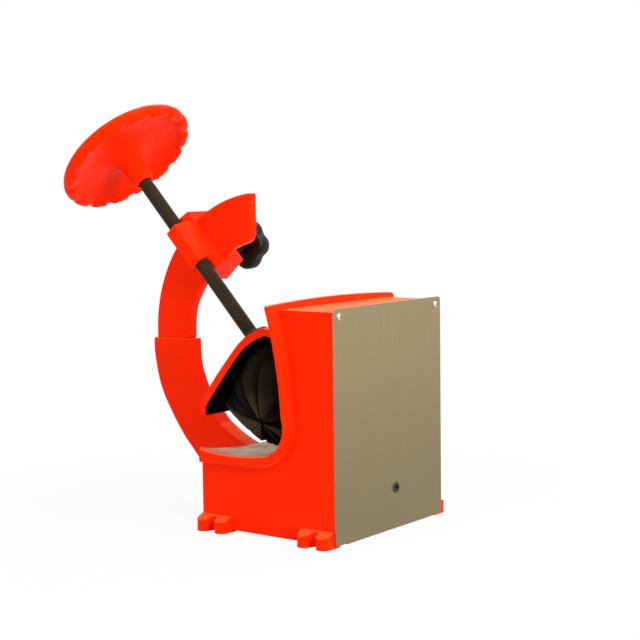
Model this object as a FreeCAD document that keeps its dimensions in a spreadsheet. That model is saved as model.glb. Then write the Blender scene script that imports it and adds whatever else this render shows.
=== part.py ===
"""Bench machine that vulcanizes patches on tyres: a heated cast saddle, a bowed arm and a hand screw.

Lengths are in millimetres and angles in degrees. The frame is +Z up with its origin on the bench, in
the middle of the four foot notches: X runs from the bowed arm (-X) to the steel side cover (+X), and Y
runs along the tyre's tread, from the front of the machine (-Y) to its back.

Everything on the hand screw is drawn in a leaning frame of its own, whose origin is the centre of the
arm's bend: its Z points out along the screw to the handwheel and its Y is the machine's Y.
"""
import FreeCAD
import Part
import Sketcher

import math
import os
import re

from FreeCAD import Placement, Rotation, Vector

SIZES = {
    # Cast box, with the heater inside
    "box_length": 211,
    "box_depth": 235,
    "box_top": 285,
    "box_wall": 7,
    "box_corner": 3,
    "sole_gap": 3,
    "deck_under": 77,
    "box_overlap": 1.5,
    "box_sink": 11,
    "hollow_bend": 86.6,
    "hollow_play": 0.5,
    # Saddle that the tyre sits in: floor, heel and leaning back
    "saddle_width": 273,
    "floor_edge_height": 106.5,
    "floor_lip": 17.5,
    "floor_lip_end": 21.6,
    "crown_place": -43.6,
    "crown_radius": 316.7,
    "heel_place": 6.6,
    "heel_height": 104.4,
    "heel_radius": 38.3,
    "throat_place": 38,
    "throat_height": 155,
    "back_radius": 554.6,
    "back_top_place": 13,
    "back_top_height": 294.5,
    "back_thickness": 6.5,
    "outer_heel_radius": 54.6,
    "outer_back_radius": 376.6,
    "saddle_edge": 2,
    "saddle_corner_length": 13,
    "saddle_corner_width": 19,
    "ridge_arch": 4,
    "ridge_end_radius": 7,
    # Dish along the tread, and the sheet metal platen that lines it
    "tread_radius": 700,
    "dish_drop": 12.2,
    "dish_reach": 8,
    "dish_rim": 12.5,
    "platen_thickness": 2,
    "platen_inset": 4,
    "platen_length": 103.5,
    "seat_play": 0.05,
    # Forked feet
    "foot_pitch_length": 160,
    "foot_pitch_depth": 251,
    "foot_width": 48,
    "foot_notch": 9,
    "foot_root": 20,
    "foot_tip": 13,
    "foot_overlap": 12,
    "foot_slope": 20,
    # Steel side cover, its screws and the cable grommet
    "cover_thickness": 1.2,
    "cover_rise": 4,
    "cover_overhang": 0.5,
    "cover_corner": 5,
    "cover_lip_length": 12,
    "cover_lip_width": 190,
    "cover_screw_inset": 11.2,
    "cover_screw_drop": 6,
    "cover_screw_diameter": 4,
    "cover_screw_head": 9,
    "cover_screw_head_height": 2.6,
    "cover_screw_length": 16,
    "boss_diameter": 10,
    "boss_length": 20,
    "grommet_place": 11.4,
    "grommet_height": 53.9,
    "grommet_diameter": 14,
    "grommet_hole": 10,
    "grommet_bore": 7,
    "grommet_flange": 1.5,
    # Heater, thermostat and wiring points
    "heater_length": 168,
    "heater_width": 66,
    "heater_thickness": 6,
    "heater_corner": 6,
    "heater_shift": -2,
    "pin_spacing": 30,
    "pin_diameter": 3,
    "pin_length": 14,
    "clamp_bar_length": 84,
    "clamp_bar_width": 16,
    "clamp_bar_thickness": 4,
    "clamp_bar_pitch": 90,
    "clamp_bar_shift": -15,
    "stud_diameter": 6,
    "stud_depth": 6.5,
    "stud_tail": 3,
    "small_nut_width": 10,
    "small_nut_height": 5,
    "thermostat_diameter": 16,
    "thermostat_height": 9,
    "thermostat_ears": 31,
    "thermostat_ear_width": 10,
    "thermostat_ear_thickness": 1.2,
    "ear_screw_pitch": 23.5,
    "ear_screw_diameter": 3,
    "ear_screw_head": 5.4,
    "ear_screw_head_height": 2,
    "block_length": 24,
    "block_width": 46,
    "block_height": 20,
    "block_web": 6,
    "block_place": 66,
    "well_diameter": 9,
    "well_depth": 12,
    "well_pitch": 16,
    "block_screw_pitch": 37,
    "block_screw_diameter": 3.5,
    "block_screw_head": 6.5,
    "block_screw_head_height": 2.5,
    "earth_place": 84,
    "earth_shift": 52,
    "earth_diameter": 5,
    "earth_washer": 10,
    "earth_head_width": 8,
    "earth_head_height": 3.5,
    # Bowed arm: a bent flat bar in the socket of a casting
    "arm_centre_place": -89.5,
    "arm_rise": 133.6,
    "arm_inner": 125.6,
    "arm_outer": 189,
    "arm_thickness": 16,
    "arm_end_place": 21,
    "arm_end_corner": 12,
    "arm_end_radius": 12.6,
    "arm_quarter": -45,
    "arm_chamfer": 1,
    "socket_height": 221,
    "socket_mouth": -5,
    "socket_angle": 28,
    "arm_seat_angle": 27.9,
    "socket_play": 0.1,
    "socket_back_wall": 4.1,
    "socket_front_wall": 17.4,
    "root_thickness": 25,
    "root_radius_outer": 195.2,
    "root_radius_inner": 101.2,
    "root_bend_reach": 97,
    "root_bend_height": 75,
    "root_foot_radius": 366,
    "root_foot_height": 24,
    "root_crook_reach": 36,
    "root_crook_height": 129,
    "root_crook_radius": 92,
    "root_top_height": 96,
    "root_chamfer": 2,
    "arm_bolt_diameter": 10,
    "arm_bolt_depth": 20,
    "arm_bolt_low": 44,
    "arm_bolt_high": 66,
    "arm_bolt_head_width": 17,
    "arm_bolt_head_height": 6.4,
    "arm_pin_diameter": 8,
    "arm_pin_depth": 14,
    "arm_pin_first": 10,
    "arm_pin_second": 22,
    # Collar that slides round the arm, and its lock
    "running_gap": 0.3,
    "collar_width": 39,
    "collar_front": 12,
    "collar_nose": 17,
    "collar_nose_width": 15,
    "collar_rear": 32.5,
    "collar_low": 115,
    "collar_high": 205,
    "boss_low": 130,
    "boss_high": 191,
    "boss_width": 32,
    "boss_overlap": 1.5,
    "boss_shoulder": 26.5,
    "boss_front": 42.5,
    "boss_front_width": 18,
    "collar_fillet": 2.5,
    "lock_diameter": 12,
    "lock_end": 92,
    "pad_diameter": 10.8,
    "pad_thickness": 4,
    "knob_radius": 31.5,
    "knob_lobe_radius": 9.5,
    "knob_valley_radius": 6,
    "knob_front": 80,
    "knob_height": 20,
    "knob_edge": 4,
    "knob_hub_diameter": 26,
    "knob_hub_front": 60,
    # Hand screw and handwheel
    "spindle_lean": 42.8,
    "spindle_shift": 27,
    "spindle_diameter": 19.05,
    "spindle_play": 0.05,
    "button_diameter": 20,
    "button_low": -20.3,
    "button_high": -4.4,
    "button_edge": 2.8,
    "button_edge_radius": 4,
    "neck_diameter": 13,
    "neck_high": 0.6,
    "hub_low": 279,
    "hub_bore": 16,
    "hub_tip_diameter": 25,
    "hub_root_diameter": 38,
    "hub_root_height": 331,
    "hub_fillet": 8,
    "dish_floor": 340,
    "dish_middle_place": 54.5,
    "dish_middle_height": 334.2,
    "wheel_back": 350,
    "wheel_seat_edge": 2,
    "back_middle_place": 68.8,
    "back_middle_height": 344.1,
    "back_inner_place": 43.4,
    "back_inner_height": 348.8,
    "wheel_radius": 98,
    "rim_radius": 8.5,
    "rim_height": 327.5,
    "scallop_radius": 6,
    "scallop_depth": 3.6,
    "scallop_count": 24,
    "wheel_washer_diameter": 30,
    "wheel_washer_thickness": 2.5,
    "wheel_nut_width": 24,
    "wheel_nut_height": 10,
    "screw_tail": 3,
    # Pressure shoe with its swivel seat
    "shoe_length": 161,
    "shoe_wall": 9.6,
    "shoe_edge_width": 7.2,
    "shoe_skirt_rise": 4.3,
    "shoe_tip_rise": 5.8,
    "shoe_shift": 3.6,
    "shoe_tip_place": -75,
    "shoe_tip_height": -57.3,
    "shoe_bend_place": -68,
    "shoe_bend_height": -50,
    "shoe_crown_place": 26,
    "shoe_crown_height": -36.4,
    "shoe_shoulder_place": 69.4,
    "shoe_shoulder_height": -46.8,
    "shoe_skirt_place": 78,
    "shoe_skirt_height": -58,
    "shoe_long_radius": 900,
    "shoe_short_radius": 100,
    "seat_boss_diameter": 44,
    "seat_boss_top": -4,
    "seat_bore": 22,
    "seat_floor": -22,
    "thrust_disc_thickness": 1.4,
    "thrust_disc_diameter": 21.6,
    "keeper_thickness": 4,
    "keeper_slot": 14.2,
    "keeper_screw_pitch": 33,
    "keeper_screw_diameter": 4,
    "keeper_screw_head": 7,
    "keeper_screw_head_height": 2.2,
    "keeper_screw_depth": 12,
    # Leather lining, leather pressure bag and what holds it
    "lining_thickness": 1.5,
    "lining_inset": 0.5,
    "bag_gap": 0.3,
    "bag_length": 182,
    "bag_edge_inset": 6,
    "bag_shoulder_inset": 4,
    "bag_shoulder_rise": 1.6,
    "bag_top_place": -18,
    "bag_top_height": -43.4,
    "bag_right": 61,
    "bag_right_height": -100,
    "bag_flank": 43,
    "bag_flank_height": -128,
    "bag_left": -56,
    "bag_left_height": -84,
    "bag_nose_height": -163.5,
    "bag_nose_width": 46,
    "bag_nose_rise": 12.5,
    "bag_gather_place": -10,
    "bag_gather_height": -112,
    "bag_bar_length": 110,
    "bag_bar_width": 16,
    "bag_bar_thickness": 3,
    "bag_bar_play": 0.8,
    "bag_screw_pitch": 90,
    "bag_screw_diameter": 5,
    "bag_screw_head": 10,
    "bag_screw_head_height": 3.5,
}

LEFT, RIGHT = 1, -1
OUT = 0.01

doc = FreeCAD.newDocument("tire_vulcanizing_machine")
sheet = doc.addObject("Spreadsheet::Sheet", "Sizes")
for row, (alias, number) in enumerate(SIZES.items(), start=1):
    sheet.set(f"A{row}", alias.replace("_", " "))
    sheet.set(f"B{row}", str(number))
    sheet.setAlias(f"B{row}", alias)
doc.recompute()

parts = []


# Helpers


def linked(formula):
    """Write a formula of size names the way the document's expressions need it."""
    def named(word):
        return f"Sizes.{word[0]}" if word[0] in SIZES else word[0]

    return re.sub(r"[a-z]\w+", named, str(formula))


def worth(formula):
    """Work out a formula of size names."""
    return float(sheet.evalExpression(linked(formula)))


def bind(item, **formulas):
    """Bind an object's properties to formulas of size names."""
    for name, formula in formulas.items():
        item.setExpression(name.replace("__", "."), linked(formula))
    return item


def start(name, leaning=False, **base):
    """Begin a sub-part as a body, in the machine's frame or in the arm's leaning one."""
    body = doc.addObject("PartDesign::Body", name)
    body.Label = name
    body.AllowCompound = True
    if leaning:
        base.update(x="arm_centre_place", z=arm_centre_height)
        body.Placement = Placement(Vector(), Rotation(Vector(0, -1, 0), worth("spindle_lean")))
        bind(body, Placement__Rotation__Angle="spindle_lean")
    for axis, formula in base.items():
        body.setExpression(f"Placement.Base.{axis}", linked(formula))
    parts.append(body)
    return body


def start_on_screw(name):
    """Begin a sub-part as a body whose Z axis is the hand screw's."""
    return start(name, leaning=True, y="-spindle_shift")


def ends(arc_side):
    """Name the two ends of a stretch in the order of travel."""
    return (2, 1) if arc_side == RIGHT else (1, 2)


def arc_between(first, last, radius, side):
    """Make the short arc of a radius from one place to the next, bending to one side of travel."""
    chord = last.sub(first)
    middle = first.add(last).multiply(0.5)
    across = Vector(-chord.y, chord.x, 0).normalize()
    reach = math.sqrt(max(radius**2 - (chord.Length / 2) ** 2, 0))
    centre = middle.add(across.multiply(side * reach))
    angles = [math.atan2(place.y - centre.y, place.x - centre.x) for place in (first, last)]
    if side == RIGHT:
        angles.reverse()
    return Part.ArcOfCircle(Part.Circle(centre, Vector(0, 0, 1), radius), *angles)


def fix_number(sketch, kind, *where, formula):
    """Add a measured constraint and bind it to a formula of size names."""
    number = sketch.addConstraint(Sketcher.Constraint(kind, *where, worth(formula)))
    sketch.setExpression(f"Constraints[{number}]", linked(formula))


def trace(sketch, corners, closed=True):
    """Draw one outline. A corner is its two coordinates, then the radius and the side of an arc that
    leads to the next corner, where the stretch is not straight."""
    places = [Vector(worth(corner[0]), worth(corner[1]), 0) for corner in corners]
    sides = [corner[3] if len(corner) > 2 else 0 for corner in corners]
    first = sketch.GeometryCount
    stretches = len(corners) if closed else len(corners) - 1
    for index in range(stretches):
        here, there = places[index], places[(index + 1) % len(corners)]
        if sides[index]:
            stretch = arc_between(here, there, worth(corners[index][2]), sides[index])
        else:
            stretch = Part.LineSegment(here, there)
        sketch.addGeometry(stretch, False)
    for index in range(stretches):
        begin, finish = ends(sides[index])
        fix_place(sketch, first + index, begin, corners[index])
        if sides[index]:
            fix_number(sketch, "Radius", first + index, formula=corners[index][2])
        after = (index + 1) % len(corners)
        if after < stretches:
            join = (first + index, finish, first + after, ends(sides[after])[0])
            sketch.addConstraint(Sketcher.Constraint("Coincident", *join))
        else:
            fix_place(sketch, first + index, finish, corners[after])


def fix_place(sketch, number, point, place):
    """Measure a point from the sketch's origin along both axes."""
    fix_number(sketch, "DistanceX", -1, 1, number, point, formula=place[0])
    fix_number(sketch, "DistanceY", -1, 1, number, point, formula=place[1])


def trace_circle(sketch, across, along, radius):
    """Draw one circle by its centre and radius."""
    centre = Vector(worth(across), worth(along), 0)
    number = sketch.addGeometry(Part.Circle(centre, Vector(0, 0, 1), worth(radius)), False)
    fix_place(sketch, number, 3, (across, along))
    fix_number(sketch, "Radius", number, formula=radius)


def origin_item(body, role):
    """Find a plane or an axis of a body's own origin."""
    return next(item for item in body.Origin.OriginFeatures if item.Role == role)


def draw(body, plane, *outlines, circles=(), path=(), lift="0", axis=None):
    """Draw outlines and circles, or an open path, in one sketch on a plane of the body's own origin.

    lift moves the sketch along the plane's normal, and axis is a pair of places that a turned piece
    turns about."""
    sketch = body.newObject("Sketcher::SketchObject", f"{body.Name}_{plane[:2]}")
    sketch.AttachmentSupport = (origin_item(body, plane), [""])
    sketch.MapMode = "FlatFace"
    bind(sketch, AttachmentOffset__Base__z=lift)
    for corners in outlines:
        trace(sketch, corners)
    for circle in circles:
        trace_circle(sketch, *circle)
    if path:
        trace(sketch, path, closed=False)
    if axis:
        places = [Vector(worth(across), worth(along), 0) for across, along in axis]
        number = sketch.addGeometry(Part.LineSegment(*places), True)
        for end, place in enumerate(axis, start=1):
            fix_place(sketch, number, end, place)
    return sketch


def extrude(kind, body, sketch, length, both, flip):
    """Add a pad or a pocket to a body."""
    doc.recompute([sketch])
    feature = body.newObject(kind, f"{sketch.Name}_{kind[12:].lower()}")
    feature.Profile = sketch
    feature.SideType = "Symmetric" if both else "One side"
    feature.Reversed = flip
    bind(feature, Length=length)
    return feature


def pad(body, sketch, length, both=False, flip=False):
    """Grow a sketch into a solid, along its normal or to both sides."""
    return extrude("PartDesign::Pad", body, sketch, length, both, flip)


def cut(body, sketch, length, both=False, flip=False):
    """Cut a sketch's outline out of a body, and make sure that it met the body."""
    doc.recompute()
    before = body.Shape.Volume
    feature = extrude("PartDesign::Pocket", body, sketch, length, both, flip)
    doc.recompute()
    if not feature.Shape.Volume < before:
        raise ValueError(f"{feature.Name} cuts nothing from {body.Label}")
    return feature


def turn(body, sketch, kind="Revolution", angle=360, both=False):
    """Turn a sketch about its own axis line."""
    feature = body.newObject(f"PartDesign::{kind}", f"{sketch.Name}_{kind.lower()}")
    feature.Profile = sketch
    feature.ReferenceAxis = (sketch, ["Axis0"])
    feature.Midplane = both
    bind(feature, Angle=angle)
    return feature


def turn_on_screw(body, corners):
    """Turn an outline about the hand screw's axis."""
    return turn(body, draw(body, "XZ_Plane", corners, axis=(("0", "0"), ("0", "1"))))


def edges_where(feature, test):
    """Name the edges of a feature that pass a test."""
    doc.recompute()
    return [f"Edge{number}" for number, edge in enumerate(feature.Shape.Edges, start=1) if test(edge)]


def round_edges(body, feature, size, test, kind="Fillet"):
    """Round or chamfer the edges of a feature that pass a test."""
    names = edges_where(feature, test)
    dressed = body.newObject(f"PartDesign::{kind}", f"{feature.Name}_{kind.lower()}")
    dressed.Base = (feature, names)
    bind(dressed, **{"Radius" if kind == "Fillet" else "Size": size})
    doc.recompute()
    return dressed


def box_outline(low_across, high_across, low_along, high_along):
    """List the corners of a rectangle."""
    return [
        (low_across, low_along),
        (high_across, low_along),
        (high_across, high_along),
        (low_across, high_along),
    ]


def hexagon(across, along, width):
    """List the corners of a hexagon by its centre and its width across flats."""
    reach = f"({width}) / sqrt(3)"
    return [
        (f"({across}) + {reach} * cos({60 * turn_ + 30})", f"({along}) + {reach} * sin({60 * turn_ + 30})")
        for turn_ in range(6)
    ]


# Outlines that more than one piece follows

box_left = "-box_length / 2"
box_right = "box_length / 2"
wall_inside = "-box_length / 2 + box_wall"
throat_outside = "throat_place + back_thickness"
cavity_top = "box_top - box_wall"
arm_centre_height = "(heel_height + arm_rise)"
heel_drop = "heel_height - dish_drop"
crown_height = (
    "heel_height + sqrt(crown_radius^2 - (heel_place - crown_place)^2) - crown_radius - dish_drop"
)
dish_axis = f"({crown_height}) + tread_radius"
crown_centre = f"({crown_height}) + crown_radius"
platen_left = f"{box_left} + platen_inset"
platen_right = f"{platen_left} + platen_length"
dish_half = "(saddle_width / 2 - dish_rim)"
bag_drop = "(lining_thickness + bag_gap)"


def crown_line(place, extra="0"):
    """Height of the dish's crowned bottom over a place along X, in the middle plane."""
    return f"{crown_centre} - sqrt((crown_radius + {extra})^2 - (({place}) - crown_place)^2)"


def dish_sweep(less):
    """Angle that the dish turns through along the tread, less a play at each end."""
    return f"2 * asin(({dish_half} - {less}) / (tread_radius + platen_thickness))"


# The cast box with the saddle and the feet


def body_casting():
    """Cast box, open on the cover's side, with the saddle on its back and four forked feet."""
    body = start("body_casting")
    shell = pad(body, draw(body, "XZ_Plane", box_side_outline()), "box_depth", both=True)
    round_edges(body, shell, "box_corner", is_box_corner)
    cut(body, draw(body, "XZ_Plane", cavity_outline()), "box_depth - 2 * box_wall", both=True)
    saddle = pad(body, draw(body, "XZ_Plane", saddle_outline()), "saddle_width", both=True)
    round_edges(body, saddle, "saddle_edge", is_saddle_edge, kind="Chamfer")
    corners = draw(body, "XY_Plane", *saddle_corner_outlines())
    cut(body, corners, "floor_edge_height + saddle_corner_width", flip=True)
    cut(body, draw(body, "YZ_Plane", ridge_outline()), "box_length", both=True)
    dish = draw(body, "XZ_Plane", dish_outline(), axis=dish_axis_line())
    doc.recompute()
    turn(body, dish, "Groove", dish_sweep("0"), both=True)
    for side in (-1, 1):
        for end in (-1, 1):
            pad(body, draw(body, "XY_Plane", foot_outline(side, end)), "foot_root")
    cut(body, draw(body, "YZ_Plane", *foot_slopes()), "box_length", both=True)
    cover_bosses(body)
    casting_holes(body)
    return body


def box_side_outline():
    """Side view of the box: its floor, the low part under the saddle and the tall part behind it."""
    return [
        (box_right, "sole_gap"),
        (box_right, "box_top"),
        ("back_top_place + back_thickness - box_overlap", "box_top", "outer_back_radius", RIGHT),
        (f"{throat_outside} - box_overlap", "throat_height", "outer_heel_radius", RIGHT),
        ("heel_place - floor_lip_end", "floor_edge_height - box_sink"),
        (box_left, "floor_edge_height - box_sink"),
        (box_left, "sole_gap"),
    ]


def is_box_corner(edge):
    """Tell the two upright corners of the box on the arm's side."""
    middle = edge.BoundBox.Center
    upright = edge.BoundBox.XLength < OUT and edge.BoundBox.YLength < OUT
    return upright and abs(middle.x - worth(box_left)) < OUT


def cavity_outline():
    """Side view of the hollow: it opens on the cover's side."""
    return [
        (f"{box_right} + 1", "sole_gap + box_wall"),
        (f"{box_right} + 1", cavity_top),
        ("back_top_place + back_thickness + hollow_play", cavity_top),
        (throat_outside, "throat_height", "hollow_bend", RIGHT),
        ("heel_place + hollow_play", "deck_under"),
        (wall_inside, "deck_under"),
        (wall_inside, "sole_gap + box_wall"),
    ]


def saddle_outline():
    """Side view of the saddle: a thin leaning back, a round heel and a floor with a thick lip."""
    lip_under = "floor_edge_height - floor_lip"
    return [
        ("back_top_place", "back_top_height", "back_radius", RIGHT),
        ("throat_place", "throat_height", "heel_radius", RIGHT),
        ("heel_place", "heel_height", "crown_radius", RIGHT),
        (box_left, "floor_edge_height"),
        (box_left, lip_under),
        ("heel_place - floor_lip_end", lip_under, "outer_heel_radius", LEFT),
        (throat_outside, "throat_height", "outer_back_radius", LEFT),
        ("back_top_place + back_thickness", "back_top_height"),
    ]


def is_saddle_edge(edge):
    """Tell the edges round the saddle's two end faces, but not those on the arm's side."""
    box = edge.BoundBox
    in_end_face = abs(abs(box.Center.y) - worth("saddle_width / 2")) < OUT and box.YLength < OUT
    return in_end_face and abs(box.Center.x - worth(box_left)) > OUT


def saddle_corner_outlines():
    """Slanted corners of the saddle's lip, seen from above."""
    outlines = []
    for side in (-1, 1):
        edge = f"{side} * saddle_width / 2"
        outlines.append([
            (f"{box_left} - 1", edge),
            (f"{box_left} - 1", f"{side} * (saddle_width / 2 - saddle_corner_width)"),
            (box_left, f"{side} * (saddle_width / 2 - saddle_corner_width)"),
            (f"{box_left} + saddle_corner_length", edge),
            (f"{box_left} + saddle_corner_length", f"{side} * (saddle_width / 2 + 1)"),
            (f"{box_left} - 1", f"{side} * (saddle_width / 2 + 1)"),
        ])
    return outlines


def ridge_outline():
    """What is missing above the arched ridge of the back, seen along X."""
    low = "back_top_height - ridge_arch"
    half = "saddle_width / 2"
    arch = f"(({half})^2 + ridge_arch^2) / 2 / ridge_arch"
    return [
        (f"-({half}) - 1", f"{low} - ridge_end_radius"),
        (f"-({half})", f"{low} - ridge_end_radius", "ridge_end_radius", RIGHT),
        (f"-({half}) + ridge_end_radius", low, arch, RIGHT),
        (f"{half} - ridge_end_radius", low, "ridge_end_radius", RIGHT),
        (half, f"{low} - ridge_end_radius"),
        (f"{half} + 1", f"{low} - ridge_end_radius"),
        (f"{half} + 1", "back_top_height + ridge_arch"),
        (f"-({half}) - 1", "back_top_height + ridge_arch"),
    ]


def dish_axis_line():
    """Axis that the dish turns about, far above the saddle."""
    return ((box_left, dish_axis), ("0", dish_axis))


def dish_outline():
    """Side view of what the dish takes out of the saddle: the platen's seat, then the sunk heel."""
    seat_right = f"{platen_right} + seat_play"
    seat_left = f"{box_left} - 1"
    low = "platen_thickness + seat_play"
    return [
        (seat_left, crown_line(seat_left, low), f"crown_radius + {low}", LEFT),
        (seat_right, crown_line(seat_right, low)),
        (seat_right, crown_line(seat_right)),
        ("heel_place", heel_drop, "heel_radius", LEFT),
        ("throat_place", "throat_height - dish_drop"),
        ("throat_place", "throat_height - dish_drop + dish_reach"),
        (seat_left, "throat_height - dish_drop + dish_reach"),
    ]


def foot_outline(side, end):
    """Forked foot seen from above: two round lobes beside a notch for a bench bolt."""
    lobe = "(foot_width - foot_notch) / 4"
    middle = f"{side} * foot_pitch_length / 2"
    notch = "foot_pitch_depth / 2"
    root = "box_depth / 2 - foot_overlap"
    bend = LEFT if end > 0 else RIGHT
    other = -bend

    def corner(across, along, *arc):
        return (f"{middle} + ({across})", f"{end} * ({along})", *arc)

    return [
        corner("-foot_width / 2", root),
        corner("foot_width / 2", root),
        corner("foot_width / 2", notch, lobe, bend),
        corner(f"foot_width / 2 - {lobe}", f"{notch} + {lobe}", lobe, bend),
        corner("foot_notch / 2", notch, "foot_notch / 2", other),
        corner("0", f"{notch} - foot_notch / 2", "foot_notch / 2", other),
        corner("-foot_notch / 2", notch, lobe, bend),
        corner(f"-foot_width / 2 + {lobe}", f"{notch} + {lobe}", lobe, bend),
        corner("-foot_width / 2", notch),
    ]


def foot_slopes():
    """What is missing above the sloping tops of the feet, seen along X."""
    outlines = []
    for end in (-1, 1):
        outlines.append([
            (f"{end} * box_depth / 2", "foot_root"),
            (f"{end} * (box_depth / 2 + foot_slope)", "foot_tip"),
            (f"{end} * (box_depth / 2 + foot_slope)", "foot_root + 1"),
            (f"{end} * box_depth / 2", "foot_root + 1"),
        ])
    return outlines


def cover_bosses(body):
    """Two bosses in the top corners of the hollow, with the cover screws' holes."""
    screws = cover_screw_places()
    top = box_right
    pads = draw(body, "YZ_Plane", circles=[(*place, "boss_diameter / 2") for place in screws], lift=top)
    pad(body, pads, "boss_length", flip=True)
    circles = [(*place, "cover_screw_diameter / 2") for place in screws]
    cut(body, draw(body, "YZ_Plane", circles=circles, lift=f"{top} + 1"), "cover_screw_length + 1")


def cover_screw_places():
    """Places of the two cover screws, seen along X."""
    height = "box_top - cover_screw_drop"
    reach = "box_depth / 2 - cover_screw_inset"
    return [(f"-({reach})", height), (reach, height)]


def casting_holes(body):
    """Holes for the arm's bolts, the heater's studs and the small screws inside."""
    bolts = [("0", height, "arm_bolt_diameter / 2") for height in ("arm_bolt_low", "arm_bolt_high")]
    cut(body, draw(body, "YZ_Plane", circles=bolts, lift=f"{box_left} - 1"), "box_wall + 2", flip=True)
    above = [(*place, "stud_diameter / 2") for place in stud_places()]
    cut(body, draw(body, "XY_Plane", circles=above, lift="deck_under - 1"), "stud_depth + 1", flip=True)
    above = [(*place, "ear_screw_diameter / 2") for place in ear_screw_places()]
    cut(body, draw(body, "XY_Plane", circles=above, lift="deck_under - 1"), "stud_depth + 1", flip=True)
    below = [(*place, "block_screw_diameter / 2") for place in block_screw_places()]
    below.append(("earth_place", "earth_shift", "earth_diameter / 2"))
    cut(body, draw(body, "XY_Plane", circles=below, lift="sole_gap + box_wall + 1"), "box_wall + 2")


# Platen and heater


def platen():
    """Bent sheet that lines the dish: crowned across and round along the tread."""
    body = start("platen")
    outline = [
        (platen_left, crown_line(platen_left, "platen_thickness"), "crown_radius + platen_thickness", LEFT),
        (platen_right, crown_line(platen_right, "platen_thickness")),
        (platen_right, crown_line(platen_right), "crown_radius", RIGHT),
        (platen_left, crown_line(platen_left)),
    ]
    sketch = draw(body, "XZ_Plane", outline, axis=dish_axis_line())
    doc.recompute()
    turn(body, sketch, angle=dish_sweep("seat_play"), both=True)
    return body


def stud_places():
    """Places of the two heater studs, seen from above."""
    return [("crown_place", f"clamp_bar_shift + {side} * clamp_bar_pitch / 2") for side in (-1, 1)]


def ear_screw_places():
    """Places of the thermostat's two small screws, seen from above."""
    return [(f"crown_place + {side} * ear_screw_pitch / 2", "clamp_bar_shift") for side in (-1, 1)]


def heater_element():
    """Flat sheathed heater under the saddle's floor, with a contact pin at each side of its front."""
    body = start("heater_element", x="crown_place", y="heater_shift", z="deck_under")
    across, along = "heater_width / 2", "heater_length / 2"
    outline = [
        (f"-{across}", f"-{along} + heater_corner"),
        (f"-{across} + heater_corner", f"-{along}"),
        (f"{across} - heater_corner", f"-{along}"),
        (across, f"-{along} + heater_corner"),
        (across, f"{along} - heater_corner"),
        (f"{across} - heater_corner", along),
        (f"-{across} + heater_corner", along),
        (f"-{across}", f"{along} - heater_corner"),
    ]
    hole = "stud_diameter / 2 + socket_play"
    holes = [("0", f"{along_tread} - heater_shift", hole) for _, along_tread in stud_places()]
    well = ("0", "clamp_bar_shift - heater_shift", "thermostat_ears / 2 + heater_corner")
    pad(body, draw(body, "XY_Plane", outline, circles=[*holes, well]), "heater_thickness", flip=True)
    pins = [(f"{side} * pin_spacing / 2", "-heater_thickness / 2", "pin_diameter / 2") for side in (-1, 1)]
    pad(body, draw(body, "XZ_Plane", circles=pins, lift="heater_length / 2 - pin_diameter"), "pin_length")
    return body


def heater_clamps():
    """Two flat bars that press the heater against the floor's underside."""
    body = start("heater_clamps", z="deck_under - heater_thickness")
    for across, along in stud_places():
        bar = box_outline(
            f"{across} - clamp_bar_length / 2",
            f"{across} + clamp_bar_length / 2",
            f"{along} - clamp_bar_width / 2",
            f"{along} + clamp_bar_width / 2",
        )
        hole = (across, along, "stud_diameter / 2 + socket_play")
        pad(body, draw(body, "XY_Plane", bar, circles=[hole]), "clamp_bar_thickness", flip=True)
    return body


def heater_studs():
    """Two studs in the casting that carry the clamp bars."""
    body = start("heater_studs", z="deck_under + stud_depth")
    rods = [(*place, "stud_diameter / 2") for place in stud_places()]
    length = "stud_depth + heater_thickness + clamp_bar_thickness + small_nut_height + stud_tail"
    pad(body, draw(body, "XY_Plane", circles=rods), length, flip=True)
    return body


def heater_nuts():
    """Nuts on the heater's studs."""
    body = start("heater_nuts", z="deck_under - heater_thickness - clamp_bar_thickness")
    for place in stud_places():
        outline = hexagon(*place, "small_nut_width")
        nut = draw(body, "XY_Plane", outline, circles=[(*place, "stud_diameter / 2")])
        pad(body, nut, "small_nut_height", flip=True)
    return body


def thermostat():
    """Disc thermostat with two ears, screwed flat under the floor in the heater's opening."""
    body = start("thermostat", z="deck_under")
    ears = box_outline(
        "crown_place - thermostat_ears / 2",
        "crown_place + thermostat_ears / 2",
        "clamp_bar_shift - thermostat_ear_width / 2",
        "clamp_bar_shift + thermostat_ear_width / 2",
    )
    holes = [(*place, "ear_screw_diameter / 2 + socket_play") for place in ear_screw_places()]
    pad(body, draw(body, "XY_Plane", ears, circles=holes), "thermostat_ear_thickness", flip=True)
    can = [("crown_place", "clamp_bar_shift", "thermostat_diameter / 2")]
    pad(body, draw(body, "XY_Plane", circles=can), "thermostat_height", flip=True)
    return body


def thermostat_screws():
    """Two small screws through the thermostat's ears."""
    body = start("thermostat_screws", z="deck_under + stud_depth - 1")
    shanks = [(*place, "ear_screw_diameter / 2") for place in ear_screw_places()]
    reach = "stud_depth - 1 + thermostat_ear_thickness"
    pad(body, draw(body, "XY_Plane", circles=shanks), f"{reach} + ear_screw_head_height", flip=True)
    heads = [(*place, "ear_screw_head / 2") for place in ear_screw_places()]
    pad(body, draw(body, "XY_Plane", circles=heads, lift=f"-({reach})"), "ear_screw_head_height", flip=True)
    return body


def block_screw_places():
    """Places of the terminal block's two screws, seen from above."""
    return [("block_place", f"grommet_place + {side} * block_screw_pitch / 2") for side in (-1, 1)]


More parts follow.
